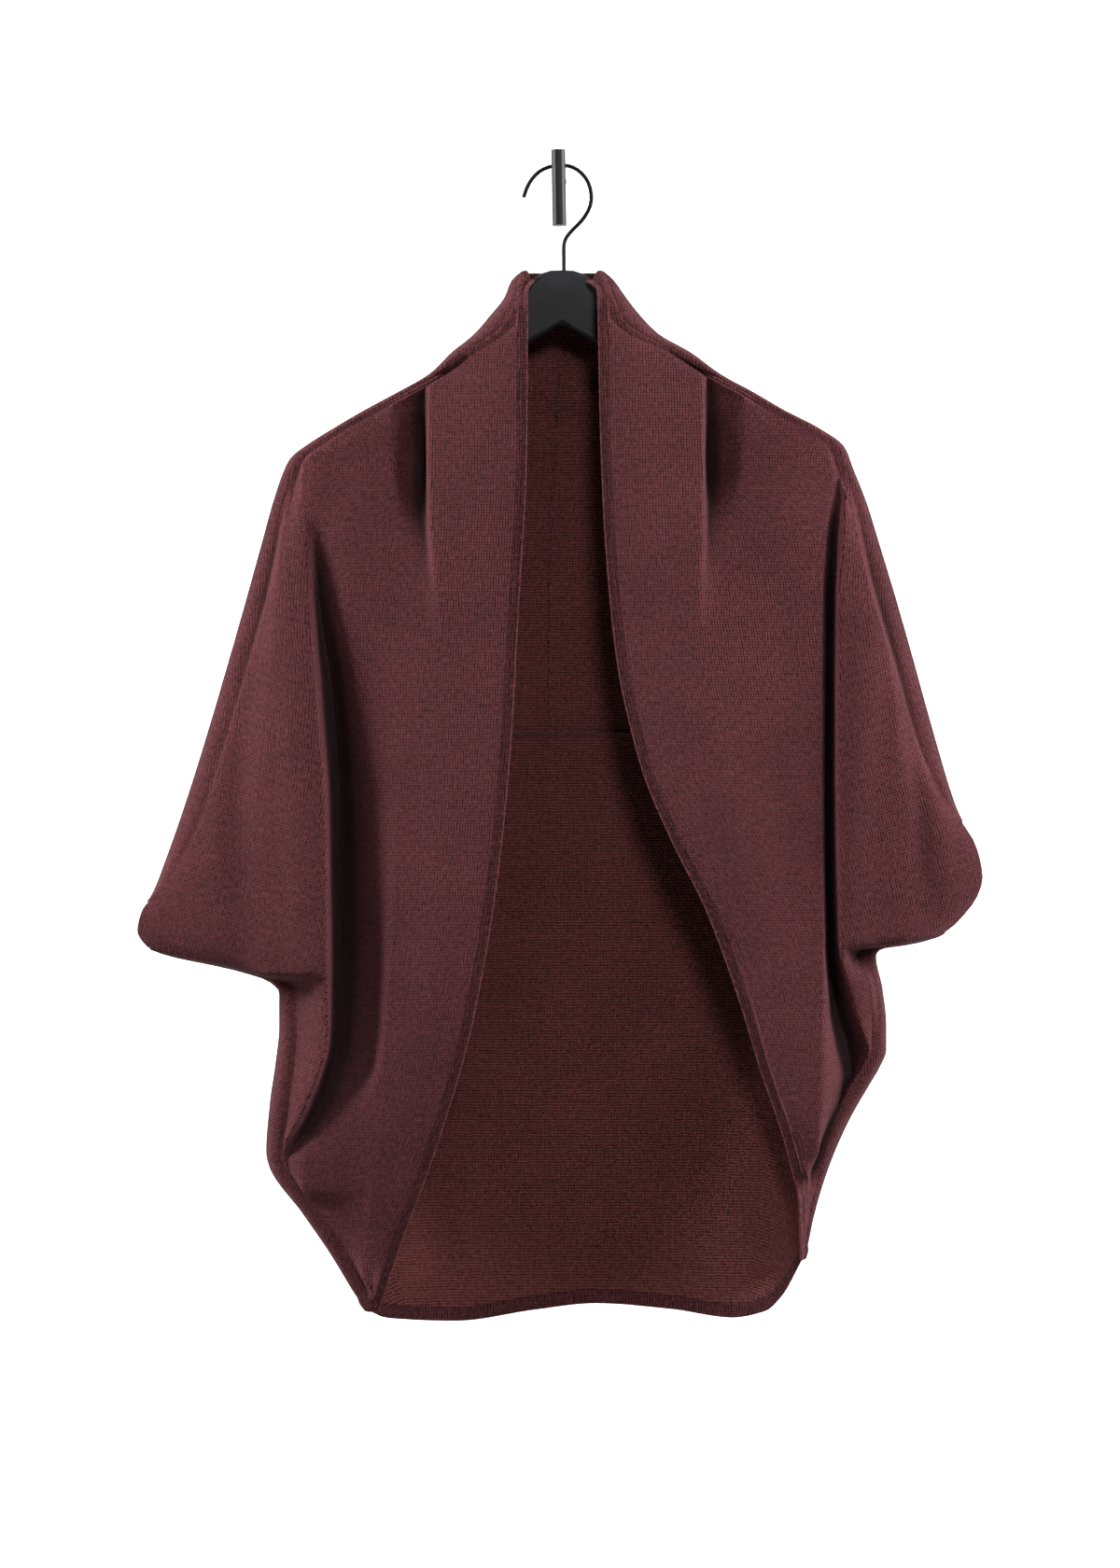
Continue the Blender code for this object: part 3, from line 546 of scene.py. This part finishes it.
def knit_runs():
    """Which way the knitting runs in each cell."""
    column = cell_middles()[1]
    runs = np.full(column.shape, "front", dtype=object)
    runs[column > COLUMN["valley"]] = "sleeve"
    runs[column > COLUMN["back_cuff_seam"] + BACK_KNIT_START] = "back"
    return runs


RIBS = 3  # raised rows of knit across a band
BAND_RELIEF, HEM_RELIEF = (0.28, 0.15), (0.35, 0.2)  # a rib's half height, and the band's own height
GROOVE, BACK_GROOVE = 0.45, 0.4  # how deep the seams lie


def groove(at, seam, width):
    """A seam's groove, 0 to 1, in rows or columns from it."""
    return np.exp(-((at - seam) / width) ** 2)


def relief(row, column):
    """How far the faces stand out from the plain wall, in millimetres: ribs, and the seams between."""
    rib = column / COLUMN["rib"]
    ribs = np.where(rib < 1, BAND_RELIEF[0] * np.cos(2 * np.pi * (RIBS * rib - 0.5)) + BAND_RELIEF[1], 0.0)
    hem = (row - ROW["hem_seam"]) / (ROW["hem"] - ROW["hem_seam"])
    hem_ribs = HEM_RELIEF[0] * np.cos(2 * np.pi * (RIBS * hem - 0.5)) + HEM_RELIEF[1]
    ribs = np.where((hem > 0) & (rib >= 1), hem_ribs, ribs)
    bands = groove(column, COLUMN["rib"], 0.07) + groove(row, ROW["hem_seam"], 0.12)
    centre = groove(column, LAST_COLUMN, 0.06) * np.clip(ROW["underarm"] - row + 0.5, 0, 1)
    across = groove(row, ROW["underarm"], 0.06) * np.clip(column - COLUMN["back_turn"], 0, 1)
    return ribs - GROOVE * bands - BACK_GROOVE * (centre + across)


FOLD_STEP, FOLD_REACH = 2.0, 7.0  # spacing of the samples, and how many of them the level is taken over
FOLD_START, FOLD_FULL = 0.8, 4.0  # depths below the level around: where the painted shade starts, and its span


def fold_shade_mask(side, sheet):
    """How deep each point lies in a fold, 0 to 1: its depth against the cloth's on both sides of it, used as
    the mask of the shade painted into the yarn's colour.
    """
    x, drop, depth = sheet
    found = np.zeros_like(x)
    turn = fine_column("side")
    for columns, face in ((slice(0, turn), 1), (slice(turn, None), -1)):
        for r in range(len(x)):
            out, height = x[r, columns] * side, depth[r, columns] * face
            order = np.argsort(out)
            grid = np.arange(out.min(), out.max() + FOLD_STEP, FOLD_STEP)
            level = np.interp(grid, out[order], height[order])
            found[r, columns] = np.interp(out, grid, spread_out(level, FOLD_REACH, 18) - level)
    return np.clip((found - FOLD_START) / FOLD_FULL, 0, 1)


def whole_cloth():
    """The two halves as one numbered set of points, with each piece's cells."""
    halves = {side: half_cloth(side) for side in (-1, 1)}
    join_at_centre(halves)
    count = len(ROWS) * len(COLUMNS_AT)
    cloth = {"points": [], "normals": [], "corners": [], "uvs": [], "names": [], "painted_fold_shades": []}
    relief_at = relief(ROWS[:, 0][:, None], COLUMNS_AT[None, :])
    numbers = np.arange(count).reshape(len(ROWS), len(COLUMNS_AT))
    for side, sheet in halves.items():
        soften_collar(sheet)
        add_creases(side, sheet)
    join_at_centre(halves)
    for side, sheet in halves.items():
        points = place(*sheet)
        mine = numbers + (0 if side < 0 else count)
        mine[:, -1] = numbers[:, -1]
        corners = cell_corners(mine)
        places, runs = knit_places(side, sheet, points), knit_runs()
        uvs = np.zeros(corners.shape + (2,))
        for run, at in places.items():
            uvs[runs == run] = cell_corners(at)[runs == run]
        if side > 0:
            corners, uvs = corners[:, :, ::-1], uvs[:, :, ::-1]
        cloth["points"].append(points.reshape(-1, 3))
        cloth["normals"].append(sheet_normals(side, points).reshape(-1, 3))
        cloth["corners"].append(corners.reshape(-1, 4))
        cloth["uvs"].append(uvs.reshape(-1, 4, 2))
        cloth["names"].append(piece_cells(side).reshape(-1))
        cloth["painted_fold_shades"].append(fold_shade_mask(side, sheet).reshape(-1))
    cloth = {key: np.concatenate(parts) for key, parts in cloth.items()}
    cloth["relief"] = np.tile(relief_at.reshape(-1), 2)
    ends = numbers[:, -1]
    cloth["normals"][ends] = unit(cloth["normals"][ends] + cloth["normals"][ends + count])
    return cloth


def new_object(name, data):
    made = bpy.data.objects.new(name, data)
    bpy.context.scene.collection.objects.link(made)
    return made


def new_mesh(name, vertices, faces):
    mesh = bpy.data.meshes.new(name)
    mesh.from_pydata(vertices, [], faces)
    return mesh


def border_of(corners):
    """The edges with this piece on one side only: their starts, their ends and their corner's number."""
    starts, ends = corners.reshape(-1), np.roll(corners, -1, axis=1).reshape(-1)
    big = int(corners.max()) + 1
    keys = starts.astype(np.int64) * big + ends
    back = ends.astype(np.int64) * big + starts
    alone = ~np.isin(back, keys)
    return starts[alone], ends[alone], np.nonzero(alone)[0]


SEWN_BULGE = 0.05  # how far a sewn edge rounds out, and a free edge does by half the wall


def cloth_piece(name, cloth):
    """One sewn piece as a closed shell: its two faces and, at each border, a rounded edge."""
    own = cloth["names"] == name
    corners, uvs = cloth["corners"][own], cloth["uvs"][own]
    used, local = np.unique(corners, return_inverse=True)
    local = local.reshape(corners.shape)
    points, normals = cloth["points"][used], cloth["normals"][used]
    thick = (WALL / 2 + cloth["relief"][used])[:, None] * MM
    starts, ends, loops = border_of(local)
    along = points[ends] - points[starts]
    outward = unit(np.cross(along, normals[starts] + normals[ends]))
    sides = np.zeros_like(points)
    np.add.at(sides, starts, outward)
    np.add.at(sides, ends, outward)
    rim = np.unique(starts)
    rim_number = np.zeros(len(used), int)
    rim_number[rim] = np.arange(len(rim)) + 2 * len(used)
    sides = unit(sides[rim])
    sewn = np.isin(used[rim], cloth["corners"][~own & (cloth["names"] != "")])
    bulge = np.where(sewn, SEWN_BULGE, WALL / 2)[:, None] * MM
    vertices = np.concatenate([points + normals * thick, points - normals * thick,
                               points[rim] + sides * bulge])
    vertex_normals = np.concatenate([normals, -normals, sides])
    n = len(used)
    faces = np.concatenate([
        local, local[:, ::-1] + n,
        np.stack([ends, starts, rim_number[starts], rim_number[ends]], axis=1),
        np.stack([rim_number[ends], rim_number[starts], starts + n, ends + n], axis=1),
    ])
    flat = uvs.reshape(-1, 2)
    next_loop = np.where(loops % 4 == 3, loops - 3, loops + 1)
    a, b = flat[loops], flat[next_loop]
    edge_uvs = np.stack([b, a, a, b], axis=1)
    all_uvs = np.concatenate([uvs, uvs[:, ::-1], edge_uvs, edge_uvs])
    mesh = new_mesh(name, vertices.tolist(), faces.tolist())
    # painted shade: each point's fold mask, on the outer face only, darkens the yarn's colour in the folds
    painted_fold_shades = cloth["painted_fold_shades"][used]
    mesh.attributes.new("painted_fold_shade", "FLOAT", "POINT").data.foreach_set(
        "value", np.concatenate([painted_fold_shades, 0 * painted_fold_shades, painted_fold_shades[rim]]).astype(np.float32))
    layer = mesh.uv_layers.new(name="knit")
    layer.data.foreach_set("uv", all_uvs.reshape(-1).astype(np.float32))
    mesh.shade_smooth()
    inner = np.zeros(len(faces), np.int32)
    inner[len(local):2 * len(local)] = 1
    mesh.polygons.foreach_set("material_index", inner)
    mesh.normals_split_custom_set_from_vertices(vertex_normals.tolist())
    return new_object("cloth_" + name, mesh)


# ---------------- seams
STITCH_SIDES, STITCH_RINGS = 8, 5
STITCH_TURN, STITCH_STRAY = (0.12, 2.1), (0.25, 1.7)  # unevenness in angle and in place, and its pace


def stitch_row(name, path, faces_to, pitch, size, lean):
    """A row of stitches along a path: each a small closed grain of yarn with this half length, width and
    height, leaning by these angles in turn."""
    steps = np.linalg.norm(np.diff(path, axis=0), axis=1)
    along = np.concatenate([[0], np.cumsum(steps)])
    count = int(along[-1] / pitch)
    ring, rings = STITCH_SIDES, STITCH_RINGS
    vertices, faces = [], []
    for k in range(count):
        at = (k + 0.5) * pitch
        centre = np.array([np.interp(at, along, path[:, n]) for n in range(3)])
        ahead = np.array([np.interp(at + pitch / 4, along, path[:, n]) for n in range(3)])
        up = np.array([np.interp(at, along, faces_to[:, n]) for n in range(3)])
        way = unit(ahead - centre)
        side = np.cross(up, way)
        angle = lean[k % len(lean)] + STITCH_TURN[0] * math.sin(STITCH_TURN[1] * k)
        way, side = (math.cos(angle) * way + math.sin(angle) * side,
                     math.cos(angle) * side - math.sin(angle) * way)
        centre = centre + side * STITCH_STRAY[0] * MM * math.sin(STITCH_STRAY[1] * k)
        first = len(vertices)
        vertices.append(centre - way * size[0])
        for j in range(1, rings + 1):
            t = -math.cos(math.pi * j / (rings + 1))
            girth = math.sqrt(1 - t * t)
            for n in range(ring):
                turn = 2 * math.pi * n / ring
                vertices.append(centre + way * size[0] * t + girth * (
                    side * size[1] * math.cos(turn) + up * size[2] * math.sin(turn)))
        vertices.append(centre + way * size[0])
        last = len(vertices) - 1
        for n in range(ring):
            m = (n + 1) % ring
            faces.append([first, first + 1 + m, first + 1 + n])
            for j in range(rings - 1):
                a, b = first + 1 + j * ring, first + 1 + (j + 1) * ring
                faces.append([a + n, a + m, b + m, b + n])
            faces.append([last, last - ring + n, last - ring + m])
    mesh = new_mesh(name, [tuple(v) for v in vertices], faces)
    mesh.shade_smooth()
    return new_object(name, mesh)


def inside_path(cloth, rows, columns, lift):
    """Points on the cloth's inner face at these rows and columns of the left and the right half."""
    count = len(COLUMNS_AT)
    numbers = np.array([(0 if side < 0 else len(ROWS) * count) + r * count + c
                        for side, r, c in zip(columns[0], rows, columns[1])])
    normals = -cloth["normals"][numbers]
    return cloth["points"][numbers] + normals * (WALL / 2 + lift) * MM, normals


# how far off the cloth, pitch, half sizes of a stitch, leans
CHAIN = (0.1, 3.3 * MM, (1.9 * MM, 0.8 * MM, 0.7 * MM), (0.3, -0.3))
RIDGE = (0.6, 2.6 * MM, (3.0 * MM, 1.5 * MM, 1.4 * MM), (0.5, 0.42))


def build_seams(cloth, yarn):
    """The centre back's chain of stitches and the thicker seam across, both on the inside."""
    last = len(COLUMNS_AT) - 1
    neck = int(np.searchsorted(ROWS[:, 0], ROW["neck_rib"]))
    cross = int(np.searchsorted(ROWS[:, 0], ROW["underarm"]))
    start = fine_column("back_turn")
    rows = list(range(neck, cross + 1))
    centre, up = inside_path(cloth, rows, ([-1] * len(rows), [last] * len(rows)), CHAIN[0])
    chain = stitch_row("seam_centre_back", centre, up, *CHAIN[1:])
    left = [(-1, c) for c in range(start, last + 1)]
    right = [(1, c) for c in range(last - 1, start - 1, -1)]
    sides, columns = zip(*(left + right))
    across, up = inside_path(cloth, [cross] * len(sides), (sides, columns), RIDGE[0])
    ridge = stitch_row("seam_across_back", across, up, *RIDGE[1:])
    for piece in (chain, ridge):
        piece.data.materials.append(yarn)
        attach(piece, "root")


# ---------------- materials
class Nodes:
    """Short calls for building one material's nodes."""

    def __init__(self, name):
        self.material = bpy.data.materials.new(name)
        self.material.use_nodes = True
        self.tree = self.material.node_tree
        self.shader = self.tree.nodes["Principled BSDF"]
        self.where = self.add("ShaderNodeTexCoord", out=3)

    def add(self, kind, settings=(), inputs=(), out=0):
        """A node with these settings, and inputs that are values or other nodes' outputs."""
        node = self.tree.nodes.new(kind)
        for key, value in dict(settings).items():
            setattr(node, key, value)
        for key, value in dict(inputs).items():
            if isinstance(value, bpy.types.NodeSocket):
                self.tree.links.new(value, node.inputs[key])
            else:
                node.inputs[key].default_value = value
        return node.outputs[out]

    def math(self, operation, *values):
        return self.add("ShaderNodeMath", {"operation": operation}, dict(enumerate(values)))

    def ramp(self, value, *stops):
        node = self.tree.nodes.new("ShaderNodeValToRGB")
        self.tree.links.new(value, node.inputs[0])
        elements = node.color_ramp.elements
        while len(elements) < len(stops):
            elements.new(0.5)
        for element, (position, colour) in zip(elements, stops):
            element.position = position
            element.color = (*colour, 1)
        return node.outputs[0]

    def mix(self, share, first, second, mode="MIX"):
        settings = {"data_type": "RGBA", "blend_type": mode}
        return self.add("ShaderNodeMix", settings, {0: share, 6: first, 7: second}, out=2)

    def noise(self, vector, scale, detail=2.0, roughness=0.5):
        return self.add("ShaderNodeTexNoise", {}, {
            "Vector": vector, "Scale": scale, "Detail": detail, "Roughness": roughness})

    def remap(self, value, *ends):
        """From the first two numbers' range to the last two's, and no further."""
        return self.add("ShaderNodeMapRange", {}, dict(enumerate((value, *ends))))

    def scaled(self, vector, sizes):
        return self.add("ShaderNodeVectorMath", {"operation": "MULTIPLY"}, {0: vector, 1: sizes})

    def link(self, value, socket):
        self.tree.links.new(value, self.shader.inputs[socket])

    def bump(self, height, strength, distance):
        inputs = {"Strength": strength, "Distance": distance, "Height": height}
        self.link(self.add("ShaderNodeBump", {}, inputs), "Normal")

    def finished(self, **values):
        """The material, with these constants set: a socket's name in small letters with _ for each space."""
        for socket in self.shader.inputs:
            name = socket.name.lower().replace(" ", "_")
            if name in values:
                socket.default_value = values[name]
        return self.material


# near black: the yarn's darkest random tone, and the painted shade in the gaps between stitches and in the
# folds
DARK_YARN_AND_PAINTED_SHADE = (0.006, 0.0034, 0.0028)
WINE_YARN = (0.190, 0.050, 0.060)
INNER_YARN = (0.275, 0.078, 0.074)
PINK_FIBRE = (0.26, 0.085, 0.10)
BROWN_FIBRE = (0.16, 0.050, 0.028)
WOOL_ROUGHNESS, WOOL_SHEEN = 0.92, 0.14
FOLD_SHADE = 0.82  # how far the painted shade darkens the yarn's colour in the deepest fold


def stitches(nodes, wrong_side, ribbed):
    """The height of the knitting, 0 to 1: slanted legs of yarn outside, short curved bars inside."""
    uv = nodes.add("ShaderNodeUVMap", {"uv_map": "knit"})
    wobble = nodes.noise(nodes.scaled(uv, (0.11, 0.11, 1)), 1.0, 1.0)
    split = nodes.add("ShaderNodeSeparateXYZ", {}, {0: uv})
    down = split.node.outputs[1]
    wale = nodes.math("ADD", nodes.math("DIVIDE", split, WALE), nodes.math("MULTIPLY", wobble, 0.9))
    course = nodes.math("ADD", nodes.math("DIVIDE", down, COURSE), nodes.math("MULTIPLY", wobble, 0.7))
    away = nodes.math("ABSOLUTE", nodes.math("SUBTRACT", nodes.math("FRACT", wale), 0.5))
    if wrong_side:
        wave = nodes.math("MULTIPLY", nodes.math("COSINE", nodes.math("MULTIPLY", wale, 2 * math.pi)), 0.2)
        phase = nodes.math("FRACT", nodes.math("ADD", course, wave))
        bar = nodes.math("SINE", nodes.math("MULTIPLY", phase, math.pi))
        dip = nodes.math("MULTIPLY", nodes.math("POWER", nodes.math("MULTIPLY", away, 2.0), 3.0), 0.35)
        return uv, nodes.math("SUBTRACT", nodes.math("POWER", bar, 0.8), dip)
    slant = nodes.math("FRACT", nodes.math("SUBTRACT", course, nodes.math("MULTIPLY", away, 1.1)))
    loop = nodes.math("SINE", nodes.math("MULTIPLY", slant, math.pi))
    gap = nodes.math("POWER", nodes.math("MULTIPLY", away, 2.0), 2.0 if ribbed else 3.0)
    dip = nodes.math("MAXIMUM", nodes.math("SUBTRACT", 0.4, nodes.math("MULTIPLY", away, 2.6)), 0.0)
    leg = nodes.math("SUBTRACT", nodes.math("SUBTRACT", 1.0, gap), dip)
    return uv, nodes.math("MULTIPLY", leg, nodes.math("ADD", nodes.math("MULTIPLY", loop, 0.5), 0.5))


def knit_material(name, wrong_side=False, ribbed=False):
    """Heathered wool: stitches, flecks of pink and brown fibre, and a soft nap that catches the light, with
    shade painted into its colour in the gaps between stitches and in the folds.
    """
    nodes = Nodes(name)
    uv, height = stitches(nodes, wrong_side, ribbed)
    streaks = nodes.noise(nodes.scaled(uv, (0.42, 0.26, 1)), 1.0, 4.0, 0.75)
    # painted shade, mixed with random streaks: the yarn is darker where the stitch height is low, in the
    # gaps between stitches
    share = nodes.math("ADD", nodes.math("POWER", height, 1.3),
                       nodes.remap(streaks, 0.36, 0.64, -0.28, 0.28))
    yarn = nodes.mix(share, (*DARK_YARN_AND_PAINTED_SHADE, 1), (*(INNER_YARN if wrong_side else WINE_YARN), 1))
    flecks = nodes.noise(nodes.scaled(uv, (0.55, 0.30, 1)), 1.0, 3.0, 0.7)
    yarn = nodes.mix(nodes.remap(flecks, 0.56, 0.74, 0.0, 0.55), yarn, (*PINK_FIBRE, 1))
    flecks = nodes.noise(nodes.scaled(uv, (0.36, 0.21, 1)), 1.3, 3.0, 0.7)
    yarn = nodes.mix(nodes.remap(flecks, 0.55, 0.72, 0.0, 0.5), yarn, (*BROWN_FIBRE, 1))
    # painted shade: the yarn's colour is mixed towards near black where the cloth lies deep in a fold
    painted_fold_shade = nodes.add("ShaderNodeAttribute", {"attribute_name": "painted_fold_shade"}, out=2)
    yarn = nodes.mix(nodes.math("MULTIPLY", painted_fold_shade, FOLD_SHADE), yarn, (*DARK_YARN_AND_PAINTED_SHADE, 1))
    shade = nodes.remap(nodes.noise(nodes.where, 22.0, 3.0), 0.3, 0.7, 0.90, 1.08)
    tint = nodes.add("ShaderNodeCombineColor", {}, {0: shade, 1: shade, 2: shade})
    nodes.link(nodes.mix(1.0, yarn, tint, "MULTIPLY"), "Base Color")
    fuzz = nodes.noise(nodes.where, 900.0, 3.0, 0.6)
    nodes.bump(nodes.math("ADD", height, nodes.math("MULTIPLY", fuzz, 0.5)), 0.9, 0.0009)
    return nodes.finished(roughness=WOOL_ROUGHNESS, specular_ior_level=0.12, sheen_weight=WOOL_SHEEN,
                          sheen_roughness=0.42, sheen_tint=(0.95, 0.55, 0.62, 1))


def yarn_material():
    """The seams' yarn: the same wool, without stitches of its own."""
    nodes = Nodes("wine_yarn")
    strands = nodes.noise(nodes.where, 1600.0, 3.0, 0.7)
    # partly painted shade: the seam yarn is darker where its strands' bump is low, mixed with random tone
    nodes.link(nodes.ramp(strands, (0.3, DARK_YARN_AND_PAINTED_SHADE), (0.7, WINE_YARN)), "Base Color")
    nodes.bump(strands, 0.5, 0.0004)
    return nodes.finished(roughness=WOOL_ROUGHNESS, sheen_weight=WOOL_SHEEN)


def black_material(name, grain, tones, roughness, bump, **values):
    """A black finish with a grain in its tone, its roughness and its surface."""
    nodes = Nodes(name)
    sizes, detail, coarse = grain
    grain = nodes.noise(nodes.scaled(nodes.where, sizes), 1.0, detail, coarse)
    nodes.link(nodes.ramp(grain, *tones), "Base Color")
    nodes.link(nodes.remap(grain, 0.0, 1.0, *roughness), "Roughness")
    nodes.bump(grain, *bump)
    return nodes.finished(**values)


def wood_material():
    return black_material("black_wood", ((30.0, 240.0, 900.0), 4.0, 0.6),
                          ((0.35, (0.004, 0.004, 0.006)), (0.7, (0.012, 0.0115, 0.015))),
                          (0.42, 0.62), (0.25, 0.0003), specular_ior_level=0.4)


def black_metal_material(name, roughness):
    return black_material(name, ((700.0, 700.0, 700.0), 3.0, 0.5),
                          ((0.3, (0.003, 0.003, 0.005)), (0.7, (0.007, 0.007, 0.010))),
                          (roughness - 0.07, roughness + 0.07), (0.12, 0.0002), metallic=0.35)


def stage_material(name, colour, glow, seen_glow):
    """A plain pale finish that glows, and glows more to the camera. It's clear from its back."""
    nodes = Nodes(name)
    low = tuple(0.985 * c for c in colour)
    nodes.link(nodes.ramp(nodes.noise(nodes.where, 3.0), (0.3, low), (0.7, colour)), "Base Color")
    seen = nodes.add("ShaderNodeLightPath")
    nodes.link(nodes.math("ADD", nodes.math("MULTIPLY", seen, seen_glow), glow), "Emission Strength")
    behind = nodes.add("ShaderNodeNewGeometry", out=6)
    clear = nodes.add("ShaderNodeBsdfTransparent")
    both = nodes.add("ShaderNodeMixShader", {}, {0: behind, 1: nodes.shader.outputs[0], 2: clear})
    nodes.tree.links.new(both, nodes.tree.nodes["Material Output"].inputs[0])
    return nodes.finished(roughness=0.9, emission_color=(1, 1, 1, 1))


# ---------------- stage, lights, camera
CAMERA_AWAY = 3.2
CAMERA_LENS, CAMERA_FILM = 96, 36
VIEW_MIDDLE = (0.0, HANGER_Y * MM, -0.4684)
FLOOR_Z, BACKDROP_Y, STAGE_SIZE = -1.9, 0.85, 6.0
SKY_LIGHT, SKY_SEEN = 0.02, 0.95
BACKDROP_WHITE, FLOOR_PALE = (0.92, 0.92, 0.92), (0.62, 0.62, 0.61)
LIGHTS = [("left", (-2.4, -0.45, 0.7), 0.8, 19), ("right", (2.4, -0.45, 0.5), 0.8, 16),
          ("front", (0.6, -3.5, 1.2), 0.9, 7)]  # name, place, size, watts
LIGHTS_AIM = (0, HANGER_Y * MM, -0.45)
LIGHT_SPREAD = math.radians(70)


def plane(name, corners, finish):
    mesh = new_mesh(name, corners, [[0, 1, 2, 3]])
    mesh.materials.append(finish)
    new_object(name, mesh)


def area_light(name, at, size, power):
    light = bpy.data.lights.new(name, "AREA")
    light.shape = "DISK"
    light.size = size
    light.spread = LIGHT_SPREAD
    light.energy = power
    made = new_object(name, light)
    made.location = at
    made.rotation_euler = (Vector(LIGHTS_AIM) - Vector(at)).to_track_quat("-Z", "Y").to_euler()


def build_stage():
    scene = bpy.context.scene
    scene.view_settings.view_transform = "Standard"
    world = bpy.data.worlds.new("studio")
    world.use_nodes = True
    sky = world.node_tree.nodes["Background"]
    sky.inputs[0].default_value = (1, 1, 1, 1)
    seen = world.node_tree.nodes.new("ShaderNodeLightPath")
    bright = world.node_tree.nodes.new("ShaderNodeMapRange")
    bright.inputs[3].default_value, bright.inputs[4].default_value = SKY_LIGHT, SKY_SEEN
    world.node_tree.links.new(seen.outputs["Is Camera Ray"], bright.inputs[0])
    world.node_tree.links.new(bright.outputs[0], sky.inputs[1])
    scene.world = world
    s, foot = STAGE_SIZE, [(STAGE_SIZE, BACKDROP_Y, FLOOR_Z), (-STAGE_SIZE, BACKDROP_Y, FLOOR_Z)]
    plane("backdrop", [*foot[::-1], (s, BACKDROP_Y, s), (-s, BACKDROP_Y, s)],
          stage_material("backdrop_white", BACKDROP_WHITE, 0.9, 0.0))
    plane("floor", [(-s, -s, FLOOR_Z), (s, -s, FLOOR_Z), *foot],
          stage_material("floor_pale", FLOOR_PALE, 0.0, 0.6))
    for light in LIGHTS:
        area_light(*light)
    camera = bpy.data.cameras.new("camera")
    camera.lens = CAMERA_LENS
    camera.sensor_width = CAMERA_FILM
    eye = new_object("camera", camera)
    eye.location = (VIEW_MIDDLE[0], VIEW_MIDDLE[1] - CAMERA_AWAY, VIEW_MIDDLE[2])
    eye.rotation_euler = (math.pi / 2, 0, 0)
    scene.camera = eye


# ---------------- putting it together
# piece, its finish's slot, the nodes that it stands for
CLOTH = [("upper_left", "knit", ("upper_left_front", "upper_left_back")),
         ("upper_right", "knit", ("upper_right_front", "upper_right_back")),
         ("lower_back", "knit", ("lower_back",)),
         ("front_band_left", "rib", ("front_band_left",)),
         ("front_band_right", "rib", ("front_band_right",)),
         ("neck_band", "rib", ("neck_band",)),
         ("hem_band", "rib", ("hem_band",)),
         ("cuff_left", "knit", ("cuff_left",)),
         ("cuff_right", "knit", ("cuff_right",))]


def build_cloth():
    cloth = whole_cloth()
    right = knit_material("wine_knit_right_side")
    wrong = knit_material("wine_knit_wrong_side", wrong_side=True)
    rib = knit_material("wine_rib", ribbed=True)
    for name, slot, nodes in CLOTH:
        piece = cloth_piece(name, cloth)
        outside, inside = (rib, rib) if slot == "rib" else (right, wrong)
        piece.data.materials.append(outside)
        piece.data.materials.append(inside)
        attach(piece, "root")
        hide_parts(*nodes)
    build_seams(cloth, yarn_material())


def finish_hanger():
    for node, finish in (("hanger_body", wood_material()),
                         ("hanger_hook", black_metal_material("black_wire", 0.38)),
                         ("wall_hook", black_metal_material("black_iron", 0.45))):
        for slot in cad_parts[node].material_slots:
            slot.material = finish


build_cloth()
finish_hanger()
build_stage()
